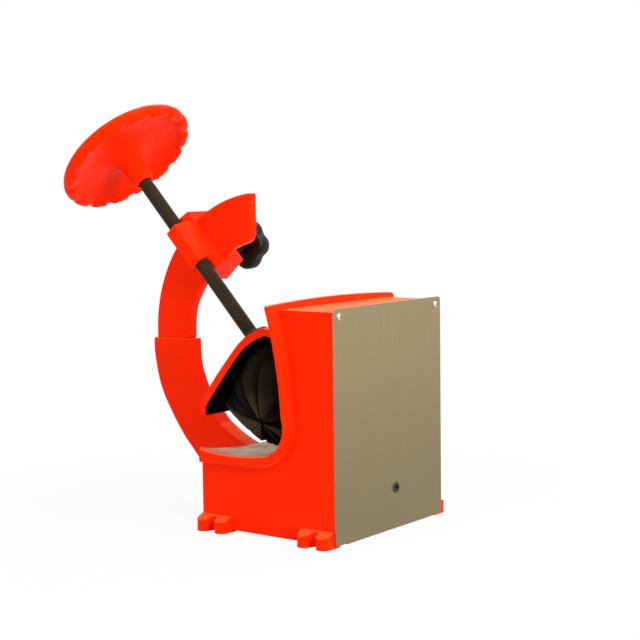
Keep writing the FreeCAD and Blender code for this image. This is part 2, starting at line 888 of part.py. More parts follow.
def terminal_block():
    """Ceramic two-pole terminal block behind the cable grommet."""
    body = start("terminal_block", z="sole_gap + box_wall")
    outline = box_outline(
        "block_place - block_length / 2",
        "block_place + block_length / 2",
        "grommet_place - block_width / 2",
        "grommet_place + block_width / 2",
    )
    screws = [(*place, "block_screw_diameter / 2 + socket_play") for place in block_screw_places()]
    pad(body, draw(body, "XY_Plane", outline, circles=screws), "block_height")
    heads = [(*place, "block_screw_head / 2 + socket_play") for place in block_screw_places()]
    cut(body, draw(body, "XY_Plane", circles=heads, lift="block_height"), "block_height - block_web")
    wells = [f"grommet_place + {side} * well_pitch / 2" for side in (-1, 1)]
    circles = [("block_place", well, "well_diameter / 2") for well in wells]
    cut(body, draw(body, "XY_Plane", circles=circles, lift="block_height"), "well_depth")
    return body


def terminal_screws():
    """Two screws that hold the terminal block on the box's bottom."""
    body = start("terminal_screws", z="sole_gap")
    shanks = [(*place, "block_screw_diameter / 2") for place in block_screw_places()]
    pad(body, draw(body, "XY_Plane", circles=shanks, lift="1"), "box_wall + block_web - 1")
    heads = [(*place, "block_screw_head / 2") for place in block_screw_places()]
    pad(body, draw(body, "XY_Plane", circles=heads, lift="box_wall + block_web"), "block_screw_head_height")
    return body


def earth_screw():
    """Earth screw with its washer in the box's bottom."""
    body = start("earth_screw", x="earth_place", y="earth_shift", z="sole_gap + box_wall")
    pad(body, draw(body, "XY_Plane", circles=[("0", "0", "earth_washer / 2")]), "1")
    pad(body, draw(body, "XY_Plane", hexagon("0", "0", "earth_head_width"), lift="1"), "earth_head_height")
    shank = draw(body, "XY_Plane", circles=[("0", "0", "earth_diameter / 2")], lift="1 - box_wall")
    pad(body, shank, "box_wall")
    return body


# Side cover


def side_cover():
    """Flat steel cover with round corners and a lip folded under the box."""
    body = start("side_cover", x=box_right)
    half = "box_depth / 2 + cover_overhang"
    top = "box_top + cover_rise"
    low = "sole_gap"
    bend = "cover_corner"
    outline = [
        (f"-({half}) + {bend}", low),
        (f"{half} - {bend}", low, bend, LEFT),
        (half, f"{low} + {bend}"),
        (half, f"{top} - {bend}", bend, LEFT),
        (f"{half} - {bend}", top),
        (f"-({half}) + {bend}", top, bend, LEFT),
        (f"-({half})", f"{top} - {bend}"),
        (f"-({half})", f"{low} + {bend}", bend, LEFT),
    ]
    holes = [(*place, "cover_screw_diameter / 2 + socket_play") for place in cover_screw_places()]
    holes.append(("grommet_place", "grommet_height", "grommet_hole / 2"))
    pad(body, draw(body, "YZ_Plane", outline, circles=holes), "cover_thickness")
    lip = [
        ("cover_thickness", "sole_gap"),
        ("-cover_lip_length", "sole_gap"),
        ("-cover_lip_length", "sole_gap - cover_thickness"),
        ("cover_thickness", "sole_gap - cover_thickness"),
    ]
    pad(body, draw(body, "XZ_Plane", lip), "cover_lip_width", both=True)
    return body


def cover_screws():
    """Two dome head screws that hold the cover's top corners."""
    body = start("cover_screws", x=f"{box_right} + cover_thickness", z="box_top - cover_screw_drop")
    dome = "(cover_screw_head^2 / 4 + cover_screw_head_height^2) / 2 / cover_screw_head_height"
    for side in (-1, 1):
        middle = f"{side} * (box_depth / 2 - cover_screw_inset)"
        outline = [
            ("-cover_screw_length", middle),
            ("-cover_screw_length", f"{middle} + cover_screw_diameter / 2"),
            ("0", f"{middle} + cover_screw_diameter / 2"),
            ("0", f"{middle} + cover_screw_head / 2", dome, RIGHT),
            ("cover_screw_head_height", middle),
        ]
        sketch = draw(body, "XY_Plane", outline, axis=(("0", middle), ("1", middle)))
        turn(body, sketch)
    return body


def cable_grommet():
    """Rubber grommet in the cover, round the edge of its cable hole."""
    body = start("cable_grommet", x=box_right, y="grommet_place", z="grommet_height")
    outline = [
        ("-grommet_flange", "grommet_bore / 2"),
        ("-grommet_flange", "grommet_diameter / 2"),
        ("0", "grommet_diameter / 2"),
        ("0", "grommet_hole / 2"),
        ("cover_thickness", "grommet_hole / 2"),
        ("cover_thickness", "grommet_diameter / 2"),
        ("cover_thickness + grommet_flange", "grommet_diameter / 2 - 1"),
        ("cover_thickness + grommet_flange", "grommet_bore / 2"),
    ]
    turn(body, draw(body, "XY_Plane", outline, axis=(("0", "0"), ("1", "0"))))
    return body


# Bowed arm

arm_middle = "(arm_inner + arm_outer) / 2"


def on_bend(radius, angle):
    """Place on a circle round the arm's centre, by its angle below the horizontal on the arm's side."""
    return (f"-({radius}) * cos({angle})", f"-({radius}) * sin({angle})")


def bend_end(radius):
    """Place on a circle round the arm's centre, at the arm's upright cut end."""
    return ("-arm_end_place", f"sqrt(({radius})^2 - arm_end_place^2)")


def lower_arm():
    """Cast root of the arm: it curves up from the box's left wall and ends in a socket."""
    body = start("lower_arm")
    drop = f"{arm_centre_height} - socket_height"
    outer_top = f"arm_centre_place - sqrt(arm_outer^2 - ({drop})^2) - socket_back_wall"
    inner_top = f"arm_centre_place - sqrt(arm_inner^2 - ({drop})^2) + socket_front_wall"
    outline = [
        (outer_top, "socket_height", "root_radius_outer", LEFT),
        (f"{box_left} - root_bend_reach", "root_bend_height", "root_foot_radius", LEFT),
        (box_left, "root_foot_height"),
        (box_left, "root_top_height", "root_crook_radius", LEFT),
        (f"{box_left} - root_crook_reach", "root_crook_height", "root_radius_inner", RIGHT),
        (inner_top, "socket_height"),
    ]
    bar = pad(body, draw(body, "XZ_Plane", outline), "root_thickness", both=True)
    round_edges(body, bar, "root_chamfer", is_root_edge, kind="Chamfer")
    socket = [
        (*shifted("arm_inner - socket_play", "socket_mouth"), "arm_inner - socket_play", LEFT),
        shifted("arm_inner - socket_play", "socket_angle"),
        (*shifted("arm_outer + socket_play", "socket_angle"), "arm_outer + socket_play", RIGHT),
        shifted("arm_outer + socket_play", "socket_mouth"),
    ]
    cut(body, draw(body, "XZ_Plane", socket), "arm_thickness + 2 * socket_play", both=True)
    pins = draw(body, "XZ_Plane", circles=pin_circles(), lift="-root_thickness / 2 - 1")
    cut(body, pins, "arm_pin_depth + 1", flip=True)
    threads = [("0", height, "arm_bolt_diameter / 2") for height in ("arm_bolt_low", "arm_bolt_high")]
    cut(body, draw(body, "YZ_Plane", circles=threads, lift=f"{box_left} + 1"), "arm_bolt_depth + 1")
    return body


def shifted(radius, angle):
    """Place on a circle round the arm's centre, in the machine's frame."""
    across, along = on_bend(radius, angle)
    return (f"arm_centre_place + {across}", f"{arm_centre_height} + {along}")


def is_root_edge(edge):
    """Tell the long curved edges of the arm's root."""
    in_side = abs(abs(edge.BoundBox.Center.y) - worth("root_thickness / 2")) < OUT
    return in_side and edge.Curve.TypeId == "Part::GeomCircle"


def pin_circles():
    """Circles of the two pins that cross the socket."""
    angles = ("arm_pin_first", "arm_pin_second")
    return [(*shifted(arm_middle, angle), "arm_pin_diameter / 2") for angle in angles]


def upper_arm():
    """Flat bar bent to an arc, in the casting's socket; its free end is cut upright."""
    body = start("upper_arm", x="arm_centre_place", z=arm_centre_height)
    corner_place = bend_end("arm_inner + arm_end_corner")
    low = on_bend("arm_inner", "arm_seat_angle")
    high = on_bend("arm_outer", "arm_seat_angle")
    swing = "arm_end_place + arm_end_corner"
    outline = [
        (*low, "arm_inner", RIGHT),
        on_bend("arm_inner", "arm_quarter") + ("arm_inner", RIGHT),
        (f"-({swing})", f"sqrt(arm_inner^2 - ({swing})^2)", "arm_end_radius", LEFT),
        corner_place,
        (*bend_end("arm_outer"), "arm_outer", LEFT),
        on_bend("arm_outer", "arm_quarter") + ("arm_outer", LEFT),
        high,
    ]
    bar = pad(body, draw(body, "XZ_Plane", outline), "arm_thickness", both=True)
    round_edges(body, bar, "arm_chamfer", is_bar_edge, kind="Chamfer")
    angles = ("arm_pin_first", "arm_pin_second")
    pins = [(*on_bend(arm_middle, angle), "arm_pin_diameter / 2") for angle in angles]
    lift = "-root_thickness / 2 - 1"
    cut(body, draw(body, "XZ_Plane", circles=pins, lift=lift), "arm_pin_depth + 1", flip=True)
    return body


def is_bar_edge(edge):
    """Tell the edges round the bar's two flat sides."""
    return edge.BoundBox.YLength < OUT


def arm_bolts():
    """Two bolts from inside the box into the arm's root."""
    body = start("arm_bolts", x=wall_inside)
    for height in ("arm_bolt_low", "arm_bolt_high"):
        shank = [("0", height, "arm_bolt_diameter / 2")]
        pad(body, draw(body, "YZ_Plane", circles=shank), "box_wall + arm_bolt_depth - 1", flip=True)
        head = hexagon("0", height, "arm_bolt_head_width")
        pad(body, draw(body, "YZ_Plane", head), "arm_bolt_head_height")
    return body


def arm_pins():
    """Two pins that lock the bar in the socket, driven in from the back."""
    body = start("arm_pins")
    pad(body, draw(body, "XZ_Plane", circles=pin_circles(), lift="-root_thickness / 2"), "arm_pin_depth")
    return body


# Collar and lock


def clamp_collar():
    """Cast collar that slides round the arm, with the threaded boss of the hand screw in front."""
    body = start("clamp_collar", leaning=True)
    half = "collar_width / 2"
    section = [
        (f"-({half})", "-collar_front"),
        ("-collar_nose_width / 2", "-collar_nose"),
        ("collar_nose_width / 2", "-collar_nose"),
        (half, "-collar_front"),
        (half, "collar_rear"),
        (f"-({half})", "collar_rear"),
    ]
    block = pad(body, draw(body, "XY_Plane", section, lift="collar_low"), "collar_high - collar_low")
    round_edges(body, block, "collar_fillet", is_collar_back_edge)
    boss = [
        ("-boss_width / 2", "-collar_front - boss_overlap"),
        ("-boss_width / 2", "-boss_shoulder"),
        ("-boss_front_width / 2", "-boss_front"),
        ("boss_front_width / 2", "-boss_front"),
        ("boss_width / 2", "-boss_shoulder"),
        ("boss_width / 2", "-collar_front - boss_overlap"),
    ]
    pad(body, draw(body, "XY_Plane", boss, lift="boss_low"), "boss_high - boss_low")
    ring = [("0", "0", "arm_inner - running_gap"), ("0", "0", "arm_outer + running_gap")]
    cut(body, draw(body, "XZ_Plane", circles=ring), "arm_thickness + 2 * running_gap", both=True)
    bore = [("0", "-spindle_shift", "spindle_diameter / 2 + spindle_play")]
    cut(body, draw(body, "XY_Plane", circles=bore, lift="collar_high + 1"), "collar_high - collar_low + 2")
    lock = [("0", arm_middle, "lock_diameter / 2 + spindle_play")]
    cut(body, draw(body, "XZ_Plane", circles=lock, lift="-collar_rear - 1"), "collar_rear + 1", flip=True)
    return body


def is_collar_back_edge(edge):
    """Tell the edges round the collar's back."""
    return edge.BoundBox.Center.y > worth("collar_rear") - OUT


def lock_pad():
    """Soft brass disc between the lock screw and the arm."""
    body = start("lock_pad", leaning=True)
    disc = [("0", arm_middle, "pad_diameter / 2")]
    lift = "-arm_thickness / 2 - spindle_play - pad_thickness"
    pad(body, draw(body, "XZ_Plane", circles=disc, lift=lift), "pad_thickness")
    return body


def lock_screw():
    """Screw of the lock, from the brass disc into the star knob."""
    body = start("lock_screw", leaning=True)
    front = "arm_thickness / 2 + 2 * spindle_play + pad_thickness"
    rod = [("0", arm_middle, "lock_diameter / 2")]
    bar = pad(body, draw(body, "XZ_Plane", circles=rod, lift="-lock_end"), f"lock_end - ({front})")
    round_edges(body, bar, "1", lambda edge: edge.BoundBox.YLength < OUT, kind="Chamfer")
    return body


def lock_knob():
    """Star knob with five lobes and a hub."""
    body = start("lock_knob", leaning=True)
    lobe_reach = "(knob_radius - knob_lobe_radius)"
    both_radii = "(knob_lobe_radius + knob_valley_radius)"
    valley_reach = f"({lobe_reach} * cos(36) + sqrt({both_radii}^2 - ({lobe_reach} * sin(36))^2))"
    corners = []
    for lobe in range(5):
        middle = f"({72 * lobe - 90} - spindle_lean)"
        for side in (-1, 1):
            valley = f"({middle} + {36 * side})"
            share = f"knob_lobe_radius / {both_radii}"
            place = [
                f"{lobe_reach} * {wave}({middle}) + {share} * ({valley_reach} * {wave}({valley}) "
                f"- {lobe_reach} * {wave}({middle}))"
                for wave in ("cos", "sin")
            ]
            bend = ("knob_lobe_radius", LEFT) if side < 0 else ("knob_valley_radius", RIGHT)
            corners.append((place[0], f"{arm_middle} + {place[1]}", *bend))
            if side < 0:
                tip = (f"knob_radius * cos({middle})", f"{arm_middle} + knob_radius * sin({middle})")
                corners.append((*tip, *bend))
    star = draw(body, "XZ_Plane", corners, lift="-knob_front")
    head = pad(body, star, "knob_height", flip=True)
    round_edges(body, head, "knob_edge", is_knob_back_edge, kind="Chamfer")
    hub = [("0", arm_middle, "knob_hub_diameter / 2")]
    root = draw(body, "XZ_Plane", circles=hub, lift="-knob_front - 2")
    pad(body, root, "knob_front - knob_hub_front + 2")
    bore = [("0", arm_middle, "lock_diameter / 2")]
    well = draw(body, "XZ_Plane", circles=bore, lift="-lock_end")
    cut(body, well, "lock_end - knob_hub_front + 1", flip=True)
    return body


def is_knob_back_edge(edge):
    """Tell the edges round the knob's outer face."""
    return edge.BoundBox.Center.y > worth("knob_front + knob_height") - OUT


# Hand screw and handwheel


def spindle():
    """Hand screw: a threaded rod with a swivel button below and a shouldered end above."""
    stack = "wheel_back + wheel_washer_thickness + wheel_nut_height + screw_tail"
    corners = [
        ("0", "button_low"),
        ("button_diameter / 2 - button_edge", "button_low", "button_edge_radius", LEFT),
        ("button_diameter / 2", "button_low + button_edge"),
        ("button_diameter / 2", "button_high"),
        ("neck_diameter / 2", "button_high"),
        ("neck_diameter / 2", "neck_high"),
        ("spindle_diameter / 2", "neck_high"),
        ("spindle_diameter / 2", "hub_low"),
        ("hub_bore / 2", "hub_low"),
        ("hub_bore / 2", f"{stack} - 1"),
        ("hub_bore / 2 - 1", stack),
        ("0", stack),
    ]
    body = start_on_screw("spindle")
    turn_on_screw(body, corners)
    return body


def handwheel():
    """Dished handwheel: a conical hub, a bowed web and an eight-sided thick rim with finger scallops."""
    middle = "(wheel_radius - rim_radius)"
    flat = "rim_radius * tan(22.5)"
    corners = [
        ("hub_bore / 2", "hub_low"),
        ("hub_tip_diameter / 2", "hub_low"),
        ("hub_root_diameter / 2", "hub_root_height"),
        ("hub_root_diameter / 2 + hub_fillet", "dish_floor"),
        ("dish_middle_place", "dish_middle_height"),
        (f"{middle} - rim_radius", f"rim_height - {flat}"),
        (f"{middle} - {flat}", "rim_height - rim_radius"),
        (f"{middle} + {flat}", "rim_height - rim_radius"),
        ("wheel_radius", f"rim_height - {flat}"),
        ("wheel_radius", f"rim_height + {flat}"),
        (f"{middle} + {flat}", "rim_height + rim_radius"),
        ("back_middle_place", "back_middle_height"),
        ("back_inner_place", "back_inner_height"),
        ("wheel_washer_diameter / 2 + wheel_seat_edge", "wheel_back"),
        ("hub_bore / 2", "wheel_back"),
    ]
    body = start_on_screw("handwheel")
    turn_on_screw(body, corners)
    finger = [("wheel_radius + scallop_radius - scallop_depth", "0", "scallop_radius")]
    under = "rim_height - rim_radius - 1"
    scallop = cut(body, draw(body, "XY_Plane", circles=finger, lift=under), "rim_radius + 1", flip=True)
    ring = body.newObject("PartDesign::PolarPattern", "scallop_ring")
    ring.Originals = [scallop]
    ring.Axis = (origin_item(body, "Z_Axis"), [""])
    ring.Angle = 360
    bind(ring, Occurrences="scallop_count")
    body.Tip = ring
    return body


def wheel_washer():
    """Washer behind the handwheel."""
    body = start_on_screw("wheel_washer")
    ring = [("0", "0", "wheel_washer_diameter / 2"), ("0", "0", "hub_bore / 2 + socket_play")]
    pad(body, draw(body, "XY_Plane", circles=ring, lift="wheel_back"), "wheel_washer_thickness")
    return body


def wheel_nut():
    """Nut that holds the handwheel against the hand screw's shoulder."""
    body = start_on_screw("wheel_nut")
    outline = hexagon("0", "0", "wheel_nut_width")
    hole = [("0", "0", "hub_bore / 2")]
    lift = "wheel_back + wheel_washer_thickness"
    pad(body, draw(body, "XY_Plane", outline, circles=hole, lift=lift), "wheel_nut_height")
    return body


# Pressure shoe


def pressure_shoe():
    """Cast hood over the bag, with the swivel seat of the hand screw on its back."""
    body = start_on_screw("pressure_shoe")
    outline = [
        ("shoe_tip_place", "shoe_tip_height"),
        ("shoe_bend_place", "shoe_bend_height", "shoe_long_radius", RIGHT),
        ("shoe_crown_place", "shoe_crown_height", "shoe_short_radius", RIGHT),
        ("shoe_shoulder_place", "shoe_shoulder_height"),
        ("shoe_skirt_place", "shoe_skirt_height"),
        ("shoe_skirt_place + shoe_edge_width", "shoe_skirt_height + shoe_skirt_rise"),
        ("shoe_shoulder_place + shoe_shift", "shoe_shoulder_height + shoe_wall", "shoe_short_radius", LEFT),
        ("shoe_crown_place", "shoe_crown_height + shoe_wall", "shoe_long_radius", LEFT),
        ("shoe_bend_place - shoe_shift", "shoe_bend_height + shoe_wall"),
        ("shoe_tip_place - shoe_edge_width", "shoe_tip_height + shoe_tip_rise"),
    ]
    pad(body, draw(body, "XZ_Plane", outline), "shoe_length", both=True)
    boss = [("0", "0", "seat_boss_diameter / 2")]
    root = "seat_boss_top - (shoe_crown_height)"
    pad(body, draw(body, "XY_Plane", circles=boss, lift="seat_boss_top"), root, flip=True)
    bore = [("0", "0", "seat_bore / 2")]
    cut(body, draw(body, "XY_Plane", circles=bore, lift="seat_boss_top"), "seat_boss_top - (seat_floor)")
    threads = [(*place, "keeper_screw_diameter / 2") for place in keeper_screw_places()]
    cut(body, draw(body, "XY_Plane", circles=threads, lift="seat_boss_top"), "keeper_screw_depth")
    holes = [(*place, "bag_screw_diameter / 2 + socket_play") for place in bag_screw_places()]
    cut(body, draw(body, "XY_Plane", circles=holes), "100")
    heads = [(*place, "bag_screw_head / 2 + socket_play") for place in bag_screw_places()]
    cut(body, draw(body, "XY_Plane", circles=heads), "-(shoe_crown_height) - shoe_wall / 2")
    return body


def keeper_screw_places():
    """Places of the two keeper screws, seen along the hand screw."""
    return [(f"{side} * keeper_screw_pitch / 2", "0") for side in (-1, 1)]


def bag_screw_places():
    """Places of the two bag screws, seen along the hand screw."""
    return [("shoe_crown_place", f"{side} * bag_screw_pitch / 2") for side in (-1, 1)]


def thrust_disc():
    """Bronze disc at the bottom of the swivel seat."""
    body = start_on_screw("thrust_disc")
    disc = [("0", "0", "thrust_disc_diameter / 2")]
    pad(body, draw(body, "XY_Plane", circles=disc, lift="seat_floor"), "thrust_disc_thickness")
    return body


def swivel_keeper():
    """Slotted plate over the swivel seat that keeps the hand screw's button in."""
    body = start_on_screw("swivel_keeper")
    disc = [("0", "0", "seat_boss_diameter / 2")]
    pad(body, draw(body, "XY_Plane", circles=disc, lift="seat_boss_top"), "keeper_thickness")
    slot = [
        ("-keeper_slot / 2", "seat_boss_diameter"),
        ("-keeper_slot / 2", "0", "keeper_slot / 2", LEFT),
        ("0", "-keeper_slot / 2", "keeper_slot / 2", LEFT),
        ("keeper_slot / 2", "0"),
        ("keeper_slot / 2", "seat_boss_diameter"),
    ]
    above = "seat_boss_top + keeper_thickness + 1"
    cut(body, draw(body, "XY_Plane", slot, lift=above), "keeper_thickness + 2")
    holes = [(*place, "keeper_screw_diameter / 2 + socket_play") for place in keeper_screw_places()]
    cut(body, draw(body, "XY_Plane", circles=holes, lift=above), "keeper_thickness + 2")
    return body


def keeper_screws():
    """Two screws that hold the keeper."""
    body = start_on_screw("keeper_screws")
    shanks = [(*place, "keeper_screw_diameter / 2") for place in keeper_screw_places()]
    top = "seat_boss_top + keeper_thickness"
    length = "keeper_thickness + keeper_screw_depth - 1"
    pad(body, draw(body, "XY_Plane", circles=shanks, lift=top), length, flip=True)
    heads = [(*place, "keeper_screw_head / 2") for place in keeper_screw_places()]
    pad(body, draw(body, "XY_Plane", circles=heads, lift=top), "keeper_screw_head_height")
    return body


# Lining and pressure bag


def hood_lining():
    """Black leather lining in the hood, over the bag."""
    body = start_on_screw("hood_lining")
    top, low = "seat_play", "lining_thickness"
    outline = [
        ("shoe_tip_place", f"shoe_tip_height - {top}"),
        ("shoe_bend_place", f"shoe_bend_height - {top}", "shoe_long_radius", RIGHT),
        ("shoe_crown_place", f"shoe_crown_height - {top}", "shoe_short_radius", RIGHT),
        ("shoe_shoulder_place", f"shoe_shoulder_height - {top}"),
        ("shoe_skirt_place", f"shoe_skirt_height - {top}"),
        ("shoe_skirt_place", f"shoe_skirt_height - {low}"),
        ("shoe_shoulder_place", f"shoe_shoulder_height - {low}", "shoe_short_radius", LEFT),
        ("shoe_crown_place", f"shoe_crown_height - {low}", "shoe_long_radius", LEFT),
        ("shoe_bend_place", f"shoe_bend_height - {low}"),
        ("shoe_tip_place", f"shoe_tip_height - {low}"),
    ]
    pad(body, draw(body, "XZ_Plane", outline), "shoe_length - 2 * lining_inset", both=True)
    holes = [(*place, "bag_screw_diameter / 2 + socket_play") for place in bag_screw_places()]
    cut(body, draw(body, "XY_Plane", circles=holes), "-(bag_nose_height)")
    return body


def bag_section(across_share, along_share):
    """Outline of the bag at one station: full size where both shares are 1, drawn to its gather near 0."""
    shoulder = "shoe_shoulder_height + bag_shoulder_rise"
    corners = [
        ("shoe_bend_place + bag_edge_inset", f"shoe_bend_height - {bag_drop}"),
        ("bag_top_place", "bag_top_height"),
        ("shoe_crown_place", f"shoe_crown_height - {bag_drop}"),
        ("shoe_shoulder_place - bag_shoulder_inset", f"{shoulder} - {bag_drop}"),
        ("bag_right", "bag_right_height"),
        ("bag_flank", "bag_flank_height"),
        ("bag_nose_width / 2", "bag_nose_height + bag_nose_rise"),
        ("bag_nose_width / 4", "bag_nose_height + bag_nose_rise / 4"),
        ("-bag_nose_width / 4", "bag_nose_height + bag_nose_rise / 4"),
        ("-bag_nose_width / 2", "bag_nose_height + bag_nose_rise"),
        ("bag_left", "bag_left_height"),
    ]
    return [
        (
            f"bag_gather_place + {across_share} * ({across} - bag_gather_place)",
            f"bag_gather_height + {along_share} * ({along} - bag_gather_height)",
        )
        for across, along in corners
    ]


def pressure_bag():
    """Filled leather bag under the hood, drawn together at both ends."""
    body = start_on_screw("pressure_bag")
    half = [(0.5, 1, 1), (0.76, 0.75, 0.93), (0.93, 0.42, 0.74), (1, 0.14, 0.24)]
    stations = [(-share, *drawn) for share, *drawn in reversed(half)] + half
    rings = [
        draw(body, "XZ_Plane", bag_section(across, along), lift=f"{share} * bag_length / 2")
        for share, across, along in stations
    ]
    doc.recompute()
    bag = body.newObject("PartDesign::AdditiveLoft", "bag_skin")
    bag.Profile = rings[0]
    bag.Sections = rings[1:]
    bag.Ruled = True
    slot = box_outline(
        "shoe_crown_place - bag_bar_width / 2 - bag_gap",
        "shoe_crown_place + bag_bar_width / 2 + bag_gap",
        "-bag_bar_length / 2 - bag_gap",
        "bag_bar_length / 2 + bag_gap",
    )
    depth = "lining_thickness + bag_bar_play + bag_bar_thickness + bag_gap + screw_tail"
    cut(body, draw(body, "XY_Plane", slot, lift="shoe_crown_height"), depth)
    return body


def bag_bar():
    """Steel bar in the top of the bag, pulled up against the hood."""
    body = start_on_screw("bag_bar")
    bar = box_outline(
        "shoe_crown_place - bag_bar_width / 2",
        "shoe_crown_place + bag_bar_width / 2",
        "-bag_bar_length / 2",
        "bag_bar_length / 2",
    )
    holes = [(*place, "bag_screw_diameter / 2") for place in bag_screw_places()]
    lift = "shoe_crown_height - lining_thickness - bag_bar_play"
    top = draw(body, "XY_Plane", bar, circles=holes, lift=lift)
    pad(body, top, "bag_bar_thickness", flip=True)
    return body


def bag_screws():
    """Two screws through the hood into the bag's bar, with their heads sunk in the hood."""
    body = start_on_screw("bag_screws")
    heads = [(*place, "bag_screw_head / 2") for place in bag_screw_places()]
    seat = "shoe_crown_height + shoe_wall / 2"
    pad(body, draw(body, "XY_Plane", circles=heads, lift=seat), "bag_screw_head_height")
    shanks = [(*place, "bag_screw_diameter / 2") for place in bag_screw_places()]
    length = "shoe_wall / 2 + lining_thickness + bag_bar_play + bag_bar_thickness + screw_tail - bag_gap"
    pad(body, draw(body, "XY_Plane", circles=shanks, lift=seat), length, flip=True)
    return body


def build():
    """Build every sub-part."""
    body_casting()
    platen()
    heater_element()
    heater_clamps()
    heater_studs()
    heater_nuts()
    thermostat()
    thermostat_screws()
    terminal_block()
    terminal_screws()
    earth_screw()
    side_cover()
    cover_screws()
    cable_grommet()
    lower_arm()
    upper_arm()
    arm_bolts()
    arm_pins()
    clamp_collar()
    lock_pad()
    lock_screw()
    lock_knob()
    spindle()
    handwheel()
    wheel_washer()
    wheel_nut()
    pressure_shoe()
    hood_lining()
    thrust_disc()
    swivel_keeper()
    keeper_screws()
    pressure_bag()
    bag_bar()
    bag_screws()


def export():
    """Check every object and write each sub-part to its own file."""
    doc.recompute()
    failed = [item.Name for item in doc.Objects if {"Invalid", "Error"} & set(item.State)]
    if failed:
        raise ValueError(f"objects that failed: {', '.join(failed)}")
    for item in parts:
        if item.Shape.isNull() or not item.Shape.isValid():
            raise ValueError(f"{item.Label} has no valid shape")
    os.makedirs("parts", exist_ok=True)
    for item in parts:
        item.Shape.exportStep(f"parts/{item.Label}.step")
        print(f"{item.Label}: {len(item.Shape.Solids)} solids, {item.Shape.Volume / 1000:.2f} cm3")


build()
export()
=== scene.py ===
"""Looks of the bench tyre vulcanizer, set around its solid model.

Every length is in metres in the machine's own axes: X runs from the bowed arm to the steel side
cover, Y along the tyre's tread and Z up from the bench. What hangs on the hand screw is placed by
a leaning frame whose Z points out along the screw to the handwheel.
"""
from __future__ import annotations

import logging
import math
from dataclasses import dataclass, field
from enum import Enum
from typing import Callable, Iterable, Sequence, TypeAlias

import bmesh
import bpy
from mathutils import Matrix, Vector, noise

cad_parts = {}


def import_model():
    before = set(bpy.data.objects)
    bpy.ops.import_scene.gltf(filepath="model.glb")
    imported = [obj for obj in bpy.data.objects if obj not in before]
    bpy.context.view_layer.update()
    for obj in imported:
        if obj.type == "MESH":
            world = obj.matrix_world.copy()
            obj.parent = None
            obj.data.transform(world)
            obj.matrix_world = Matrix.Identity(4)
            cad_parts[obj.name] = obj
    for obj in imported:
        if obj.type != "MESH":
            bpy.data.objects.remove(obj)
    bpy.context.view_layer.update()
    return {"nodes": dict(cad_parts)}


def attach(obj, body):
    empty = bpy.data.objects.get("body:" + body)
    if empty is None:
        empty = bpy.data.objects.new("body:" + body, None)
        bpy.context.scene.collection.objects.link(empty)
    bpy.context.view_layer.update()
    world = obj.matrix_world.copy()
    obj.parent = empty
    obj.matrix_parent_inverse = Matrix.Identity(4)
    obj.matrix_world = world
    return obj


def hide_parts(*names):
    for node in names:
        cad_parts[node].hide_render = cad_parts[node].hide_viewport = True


log = logging.getLogger("vulcanizer")

Pair: TypeAlias = tuple[float, float]
Triple: TypeAlias = tuple[float, float, float]
Piece: TypeAlias = bpy.types.Object
Work: TypeAlias = bmesh.types.BMesh

MM = 0.001
SAME_PLACE = 1e-7
TINY = 1e-6
WHITE = (1.0, 1.0, 1.0, 1.0)
QUARTER_TURN = math.pi / 2


class Body(Enum):
    """The rigid bodies that the new pieces ride on."""

    MACHINE = "machine"
    LOCK = "lock"
    SHOE = "shoe"
    SCREW = "hand_screw"


class Slot(Enum):
    """The record's material slots for the new pieces, which this script does not use."""

    BRIGHT = "bright_screws"
    PLAIN = "plain_steel"
    OILED = "oiled_steel"
    LEATHER = "bag_leather"
    KNOB = "knob_plastic"
    PAINT = "orange_paint"


class Recess(Enum):
    """The driver recesses of the screw heads."""

    CROSS = "cross"
    SLIT = "slit"


# Shader maths


class Signal:
    """A node's output, which Python arithmetic turns into Math nodes."""

    def __init__(self, owner: ShaderTree, socket: bpy.types.NodeSocket) -> None:
        """Keep the output and the tree that it belongs to."""
        self.owner = owner
        self.socket = socket

    def _math(self, operation: str, other: Signal | float) -> Signal:
        """Join this output and another value by one Math node."""
        return self.owner.node("ShaderNodeMath", {"operation": operation}, {0: self, 1: other})

    def __add__(self, other: Signal | float) -> Signal:
        """Add."""
        return self._math("ADD", other)

    __radd__ = __add__

    def __mul__(self, other: Signal | float) -> Signal:
        """Multiply."""
        return self._math("MULTIPLY", other)

    __rmul__ = __mul__

    def __pow__(self, other: Signal | float) -> Signal:
        """Raise to a power."""
        return self._math("POWER", other)

    def ramp(self, low: float, high: float, bottom: float = 0.0, top: float = 1.0) -> Signal:
        """Fit the signal smoothly from the range low to high onto the range bottom to top."""
        inputs = dict(enumerate((self, low, high, bottom, top)))
        return self.owner.node("ShaderNodeMapRange", {"interpolation_type": "SMOOTHSTEP"}, inputs)


Value: TypeAlias = "Signal | float | tuple[float, ...]"


class ShaderTree:
    """A tree of shader nodes, written from nothing."""

    def __init__(self, tree: bpy.types.NodeTree) -> None:
        """Empty the tree."""
        self.tree = tree
        self.tree.nodes.clear()

    def node(
        self,
        kind: str,
        settings: dict[str, object] | None = None,
        inputs: dict[int | str, Value] | None = None,
        output: int | str = 0,
    ) -> Signal:
        """Add one node.

        Args:
            kind: The node's type.
            settings: Its own settings, which are set first.
            inputs: The values or links of its sockets.
            output: The output to hand back.

        Returns:
            That output.
        """
        made = self.tree.nodes.new(kind)
        for name, value in (settings or {}).items():
            setattr(made, name, value)
        for key, value in (inputs or {}).items():
            if isinstance(value, Signal):
                self.tree.links.new(value.socket, made.inputs[key])
            else:
                made.inputs[key].default_value = value
        return Signal(self, made.outputs[output])

    def show(self, surface: Signal, kind: str = "ShaderNodeOutputMaterial") -> None:
        """End the tree in an output node that shows a surface."""
        self.tree.links.new(surface.socket, self.tree.nodes.new(kind).inputs[0])


